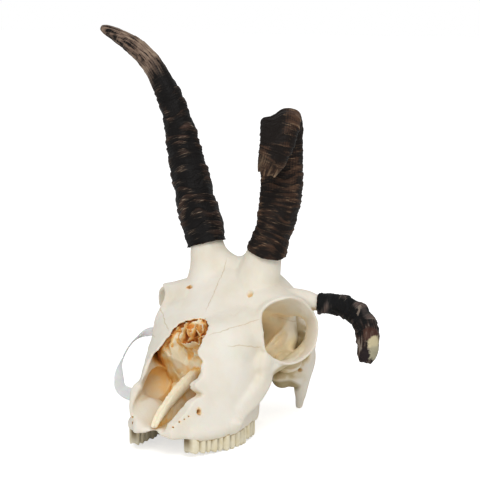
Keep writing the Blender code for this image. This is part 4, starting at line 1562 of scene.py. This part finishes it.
for direction, distance, middle, reach in SUTURES:
    # The first runs along the middle of the forehead, the others are the same on both sides
    place = middle_wavy if joints is None else wavy
    flat = put(tree, "VectorMath", {0: place, 1: direction}, operation="DOT_PRODUCT")
    off = put(tree, "Math", {0: flat, 1: distance}, operation="SUBTRACT")
    size = put(tree, "Math", {0: off}, operation="ABSOLUTE")
    line = put(tree, "MapRange", {"Value": size, "From Min": SUTURE_WIDTH, "From Max": SUTURE_WIDTH * 0.3})
    away = put(tree, "VectorMath", {0: folded, 1: middle}, operation="DISTANCE")
    near = put(tree, "MapRange", {"Value": away, "From Min": reach, "From Max": reach * 0.75})
    shown = put(tree, "Math", {0: line, 1: near}, operation="MULTIPLY")
    if joints is not None:
        shown = put(tree, "Math", {0: shown, 1: joints}, operation="MAXIMUM")
    joints = shown
faint = put(tree, "Math", {0: joints, 1: SUTURE_STRENGTH}, operation="MULTIPLY")
colour = put(tree, "Mix", {SHARE: faint, UNDER: colour, OVER: "#bfa273"}, data_type="RGBA")

# %% Grain and gloss of bone, sizes in mm
PORE, FIBRE = 1.1, (1.6, 1.6, 9.0)
BONE_BUMP = 0.4 * MM
pores = put(tree, "TexNoise", {"Vector": mm, "Scale": 1 / PORE, "Detail": 4.0, "Roughness": 0.65})
stretched = put(tree, "Mapping", {"Vector": mm, "Scale": per_mm(FIBRE)})
fibres = put(tree, "TexNoise", {"Vector": stretched, "Scale": 1.0, "Detail": 3.0})
grain = put(tree, "Math", {0: pores, 1: fibres}, operation="ADD")
sunk = put(tree, "Math", {0: joints, 1: 1.2}, operation="MULTIPLY")
relief = put(tree, "Math", {0: grain, 1: sunk}, operation="SUBTRACT")
fill(tree, bone_shader, {
    "Base Color": colour,
    "Normal": put(tree, "Bump", {"Height": relief, "Strength": 0.35, "Distance": BONE_BUMP}),
    "Roughness": put(tree, "MapRange", {"Value": clouds, "To Min": 0.46, "To Max": 0.66}),
    "IOR": 1.5,
    "Specular IOR Level": 0.35,
    "Subsurface Weight": 0.12,
    "Subsurface Scale": 3 * MM,
})
print("bone material:", len(tree.nodes), "nodes")

# %% [markdown]
# ### Tooth, scroll and horn
#
# Old teeth are yellower and glossier than bone, darker between the columns, with painted shade in
# their crevices. The scrolls are the same bone as the skull but so thin and deep that most of it is
# ochre, deepened by painted shade where they are closed in. Horn is keratin: nearly black where it is
# thick, red-brown where the ring edges are worn, and paler on the ring crests and darker between them
# as painted highlight and shade, with fine lines across it.

# %% Tooth enamel, sizes in mm
ENAMEL_MOTTLE, ENAMEL_GRAIN = 5, 0.9
IVORY = ((0.35, "#e8e0c8"), (0.7, "#ddd0aa"))
# Painted shade: the enamel darkens with the measured depth in its crevices
CREVICE = ((0.3, "#ffffff"), (0.5, "#cbb588"), (0.7, "#6b5638"))
# Tartar is thickest near the gum: heights between which it fades
GUM_FADE = (5.0, 11.5)
enamel, tree, shader, mm = blank("worn_tooth_enamel")
mottle = put(tree, "TexNoise", {"Vector": mm, "Scale": 1 / ENAMEL_MOTTLE, "Detail": 4.0})
ivory = put(tree, "ValToRGB", {"Fac": mottle}, IVORY)
measured = put(tree, "Attribute", attribute_name="depth").outputs["Fac"]
crevice = put(tree, "ValToRGB", {"Fac": measured}, CREVICE)
# Ivory with painted shade in the crevices
wear_and_painted_light = put(tree, "Mix", {SHARE: 1.0, UNDER: ivory, OVER: crevice}, data_type="RGBA", blend_type="MULTIPLY")
low = put(tree, "SeparateXYZ", {"Vector": mm}).outputs["Z"]
faded, full = GUM_FADE
near_gum = put(tree, "MapRange", {"Value": low, "From Min": faded, "From Max": full, "To Min": 0.25})
between = put(tree, "Attribute", attribute_name="groove").outputs["Fac"]
tartar = put(tree, "MapRange", {"Value": between, "From Min": 0.3, "From Max": 0.95})
share = put(tree, "Math", {0: tartar, 1: near_gum}, operation="MULTIPLY")
fine = put(tree, "TexNoise", {"Vector": mm, "Scale": 1 / ENAMEL_GRAIN, "Detail": 3.0})
fill(tree, shader, {
    "Base Color": put(tree, "Mix", {SHARE: share, UNDER: wear_and_painted_light, OVER: "#6e5a38"}, data_type="RGBA"),
    "Normal": put(tree, "Bump", {"Height": fine, "Strength": 0.25, "Distance": 0.3 * MM}),
    "Roughness": put(tree, "MapRange", {"Value": mottle, "To Min": 0.28, "To Max": 0.45}),
    "Coat Weight": 0.15,
    "Coat Roughness": 0.25,
})

# %% Thin bone inside the nose, sizes in mm
SCROLL_MOTTLE, SCROLL_GRAIN = 6, 0.8
# The bone's own ochre stain with painted shade, both deepening with the measured depth
SCROLL_STAIN_AND_SHADE = ((0.3, "#f4e8cb"), (0.47, "#f1cf90"), (0.6, "#ecb866"), (0.78, "#dd9444"), (0.95, "#b06a2a"))
# The keel stands in the open air of the nose, so its stain and painted shade are lowered and it stays paler
# than the cells behind it
KEEL_SPACE = ((0, 14, 33), (7, 34, 20))
KEEL_PALER = -0.2
scroll_bone, tree, shader, mm = blank("thin_bone_stain_and_shade")
mottle = put(tree, "TexNoise", {"Vector": mm, "Scale": 1 / SCROLL_MOTTLE, "Detail": 5.0, "Roughness": 0.6})
uneven = put(tree, "MapRange", {"Value": mottle, "To Min": -0.22, "To Max": 0.22})
measured = put(tree, "Attribute", attribute_name="depth").outputs["Fac"]
level = put(tree, "Math", {0: measured, 1: uneven}, operation="ADD")
paler = put(tree, "Math", {0: within(tree, mm, *KEEL_SPACE), 1: KEEL_PALER}, operation="MULTIPLY")
level = put(tree, "Math", {0: level, 1: paler}, operation="ADD")
fine = put(tree, "TexNoise", {"Vector": mm, "Scale": 1 / SCROLL_GRAIN, "Detail": 4.0})
fill(tree, shader, {
    "Base Color": put(tree, "ValToRGB", {"Fac": level}, SCROLL_STAIN_AND_SHADE),
    "Normal": put(tree, "Bump", {"Height": fine, "Strength": 0.5, "Distance": 0.4 * MM}),
    "Roughness": 0.6,
    "Subsurface Weight": 0.15,
    "Subsurface Scale": 2 * MM,
})

# %% Horn keratin: grain sizes round the horn twice and along it, in mm
RING_LINES, HORN_FIBRES, SCRAPES = (12, 12, 1.3), (1.1, 1.1, 12), (7, 7, 0.5)
HORN_PATCH = 18
PATCH_FRAY, FRAY_SIZE = 5.0, 3


def keratin(name, dark, brown, pale, scratch, tip, tip_start, gloss, patches=()):
    """Dark horn with lines across it and fibres along it, lighter towards the tip, in its patches and on its
    ring crests, which are worn and carry painted highlight.
    """
    material, tree, shader, mm = blank(name)
    way = put(tree, "Attribute", attribute_name="unrolled").outputs["Vector"]
    swelling = put(tree, "Attribute", attribute_name="relief").outputs["Fac"]
    reached = put(tree, "Attribute", attribute_name="along").outputs["Fac"]
    ringwise = put(tree, "Mapping", {"Vector": way, "Scale": per_mm(RING_LINES)})
    lines = put(tree, "TexNoise", {"Vector": ringwise, "Scale": 1.0, "Detail": 4.0, "Roughness": 0.6})
    lengthwise = put(tree, "Mapping", {"Vector": way, "Scale": per_mm(HORN_FIBRES)})
    fibres = put(tree, "TexNoise", {"Vector": lengthwise, "Scale": 1.0, "Detail": 3.0})
    patch = put(tree, "TexNoise", {"Vector": way, "Scale": 1 / HORN_PATCH, "Detail": 3.0})
    # Share of the ring crests: wear, and painted highlight on the crests with painted shade between them
    wear_and_painted_light = put(tree, "MapRange", {"Value": swelling, "From Min": -0.4, "From Max": 0.9})
    mix = put(tree, "Math", {0: lines, 1: wear_and_painted_light}, operation="MULTIPLY")
    mix = put(tree, "Math", {0: mix, 1: patch}, operation="MULTIPLY")
    body = put(tree, "ValToRGB", {"Fac": mix}, ((0.06, dark), (0.14, brown), (0.34, pale)))
    hair = put(tree, "Math", {0: fibres, 1: patch}, operation="MULTIPLY")
    end = put(tree, "ValToRGB", {"Fac": hair}, ((0.2, dark), (0.26, tip), (0.4, scratch)))
    drift = put(tree, "MapRange", {"Value": patch, "To Min": -0.1, "To Max": 0.1})
    moved = put(tree, "Math", {0: reached, 1: drift}, operation="ADD")
    late = put(tree, "MapRange", {"Value": moved, "From Min": tip_start, "From Max": tip_start + 0.12})
    colour = put(tree, "Mix", {SHARE: late, UNDER: body, OVER: end}, data_type="RGBA")
    crosswise = put(tree, "Mapping", {"Vector": way, "Scale": per_mm(SCRAPES)})
    scrapes = put(tree, "TexNoise", {"Vector": crosswise, "Scale": 1.0, "Detail": 2.0})
    thin = put(tree, "MapRange", {"Value": scrapes, "From Min": 0.6, "From Max": 0.72})
    shown = put(tree, "Math", {0: thin, 1: wear_and_painted_light}, operation="MULTIPLY")
    colour = put(tree, "Mix", {SHARE: shown, UNDER: colour, OVER: scratch}, data_type="RGBA")
    ragged = put(tree, "TexNoise", {"Vector": mm, "Scale": 1 / FRAY_SIZE, "Detail": 4.0, "Roughness": 0.7})
    frayed = {0: ragged.outputs["Color"], 1: (PATCH_FRAY,) * 3, 2: (-PATCH_FRAY / 2,) * 3}
    offset = put(tree, "VectorMath", frayed, operation="MULTIPLY_ADD")
    torn = put(tree, "VectorMath", {0: mm, 1: offset}, operation="ADD")
    for middle, radii, code, strength in patches:
        strong = put(tree, "Math", {0: within(tree, torn, middle, radii), 1: strength}, operation="MULTIPLY")
        colour = put(tree, "Mix", {SHARE: strong, UNDER: colour, OVER: code}, data_type="RGBA")
    height = put(tree, "Math", {0: lines, 1: fibres}, operation="ADD")
    fill(tree, shader, {
        "Base Color": colour,
        "Normal": put(tree, "Bump", {"Height": height, "Strength": 0.6, "Distance": 0.6 * MM}),
        "Roughness": put(tree, "MapRange", {"Value": lines, "To Min": gloss, "To Max": gloss + 0.3}),
        "IOR": 1.54,
        "Specular IOR Level": 0.14,
    })
    return material


# Patches on the side horn: middle, radii, colour, strength
SIDE_PATCHES = (
    ((108, 86, 75), (7, 12, 5), "#4e3026", 0.6),
    ((111.5, 85, 69.6), (4.8, 12, 5), "#c9bd98", 0.9),
    ((113.4, 84, 62), (4.8, 12, 7.5), "#a9a388", 0.9),
    ((105.7, 84, 60.6), (3.6, 12, 5.5), "#231b1c", 1.0),
    ((94.2, 99, 89.2), (1.2, 8, 5), "#85786c", 0.8),
)
keratin_right = keratin("ringed_horn_dark", "#0a0706", "#21160f", "#44322a", "#a08c78", "#715d50", 0.66, 0.42)
keratin_left = keratin("ringed_horn_brown", "#140d09", "#38261b", "#5c4332", "#967d63", "#4a3426", 0.93, 0.42)
keratin_side = keratin("rough_horn_worn", "#0e0e0f", "#36302e", "#65544e", "#8a7f74", "#3a2a24", 0.6, 0.5,
                       SIDE_PATCHES)

# %% Soft white plastic, sizes in mm
HAZE, SCUFF = 6, 1.5
plastic, tree, shader, mm = blank("milky_moulded_polyethylene")
haze = put(tree, "TexNoise", {"Vector": mm, "Scale": 1 / HAZE, "Detail": 3.0})
scuff = put(tree, "TexNoise", {"Vector": mm, "Scale": 1 / SCUFF, "Detail": 4.0})
fill(tree, shader, {
    "Base Color": put(tree, "ValToRGB", {"Fac": haze}, ((0.3, "#eef0f1"), (0.7, "#fafbfb"))),
    "Roughness": put(tree, "MapRange", {"Value": scuff, "To Min": 0.25, "To Max": 0.5}),
    "Transmission Weight": 0.25,
    "Subsurface Weight": 0.3,
    "Subsurface Scale": 3 * MM,
})

# %% [markdown]
# ## Put the pieces in the frame
#
# Each finished mesh moves from skull millimetres to the model's metres, so that its object stays
# at the origin, unturned and unscaled. Each rides on the one body and stands for its CAD nodes.

# %% Pieces: name, mesh, material, slot and the nodes it replaces
SKULL_NODES = ("braincase", "frontal", "maxilla_left", "maxilla_right")
PIECES = (
    ("skull_bone", bone, bone_material, "frontal", SKULL_NODES),
    ("teeth_left", teeth_left, enamel, "maxilla_left", ("maxilla_left",)),
    ("teeth_right", teeth_right, enamel, "maxilla_right", ("maxilla_right",)),
    ("nasal_scrolls", scrolls, scroll_bone, "turbinates", ("turbinates",)),
    ("horn_sheath_left", horn_left, keratin_left, "horn_upper_left", ("horn_upper_left",)),
    ("horn_sheath_right", horn_right, keratin_right, "horn_upper_right", ("horn_upper_right",)),
    ("horn_sheath_side", horn_side, keratin_side, "horn_side_left", ("horn_side_left",)),
    ("tag_strip", strip, plastic, "tag_band", ("tag_band",)),
)
for name, piece, material, slot, nodes in PIECES:
    piece.name = piece.data.name = name
    piece.data.transform(TO_FRAME)
    piece.data.materials.clear()
    piece.data.materials.append(material)
    piece.data.shade_smooth()
    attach(piece, "root")
    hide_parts(*nodes)
    print(name, "replaces", ", ".join(nodes))

# %% [markdown]
# ## Floor, light and camera
#
# A wide pale floor runs on into a white surround. A large soft light stands high in front, to the
# right of the camera, as in a studio, and a weaker one fills from the left.

# %% Floor of white paper
FLOOR_HALF = 6.0
FLOOR_GLOW = 0.6
PAPER_GRAIN = 2.5
WHITE = "#ffffff"
bm = bmesh.new()
bmesh.ops.create_grid(bm, x_segments=1, y_segments=1, size=FLOOR_HALF)
floor = object_from(bm, "floor")
paper, tree, shader, mm = blank("white_paper")
fibre = put(tree, "TexNoise", {"Vector": mm, "Scale": 1 / PAPER_GRAIN, "Detail": 2.0})
seen = put(tree, "LightPath").outputs["Is Camera Ray"]
fill(tree, shader, {
    "Base Color": put(tree, "ValToRGB", {"Fac": fibre}, ((0.3, "#f7f7f6"), (0.7, "#fbfbfa"))),
    "Roughness": 0.9,
    "Emission Color": WHITE,
    "Emission Strength": put(tree, "MapRange", {"Value": seen, "To Max": FLOOR_GLOW}),
})
floor.data.materials.append(paper)

# %% Camera at the photograph's angle
CAMERA_PLACE = Vector((0.595886, -0.986471, 0.317))
CAMERA_YAW, CAMERA_TILT, CAMERA_ROLL = 30.12, 9.14, -0.36
CAMERA_LENS = 127.5
yaw, tilt, roll = (math.radians(a) for a in (CAMERA_YAW, CAMERA_TILT, CAMERA_ROLL))
back = Vector((math.sin(yaw) * math.cos(tilt), -math.cos(yaw) * math.cos(tilt), math.sin(tilt)))
right = Vector((0, 0, 1)).cross(back).normalized()
up = back.cross(right)
turned_right = math.cos(roll) * right + math.sin(roll) * up
turned_up = math.cos(roll) * up - math.sin(roll) * right
lens = bpy.data.cameras.new("camera")
lens.lens = CAMERA_LENS
lens.sensor_width = 36.0
lens.clip_start, lens.clip_end = 0.01, 50.0
camera = bpy.data.objects.new("camera", lens)
bpy.context.scene.collection.objects.link(camera)
axes = Matrix((turned_right, turned_up, back)).transposed().to_4x4()
camera.matrix_world = Matrix.Translation(CAMERA_PLACE) @ axes
bpy.context.scene.camera = camera

# %% Lights: place, size, power
TARGET = Vector((0, 0, 0.11))
LIGHTS = {
    "key": (back * 1.0 + right * 0.15 + Vector((0, 0, 0.9)), 0.8, 9.5),
    "fill": (back * 0.8 - right * 1.0 + Vector((0, 0, 0.35)), 1.0, 1.5),
}
for name, (place, size, power) in LIGHTS.items():
    lamp = bpy.data.lights.new(name, "AREA")
    lamp.shape = "DISK"
    lamp.size = size
    lamp.energy = power
    holder = bpy.data.objects.new(name, lamp)
    bpy.context.scene.collection.objects.link(holder)
    holder.location = TARGET + place
    holder.rotation_euler = (-place).to_track_quat("-Z", "Y").to_euler()

# %% White surround
SURROUND_LIGHT = 0.56
world = bpy.data.worlds.new("studio")
bpy.context.scene.world = world
world.use_nodes = True
tree = world.node_tree
seen = put(tree, "LightPath").outputs["Is Camera Ray"]
strength = put(tree, "MapRange", {"Value": seen, "To Min": SURROUND_LIGHT, "To Max": 1.0})
fill(tree, tree.nodes["Background"], {"Color": WHITE, "Strength": strength})
bpy.context.scene.view_settings.view_transform = "Standard"
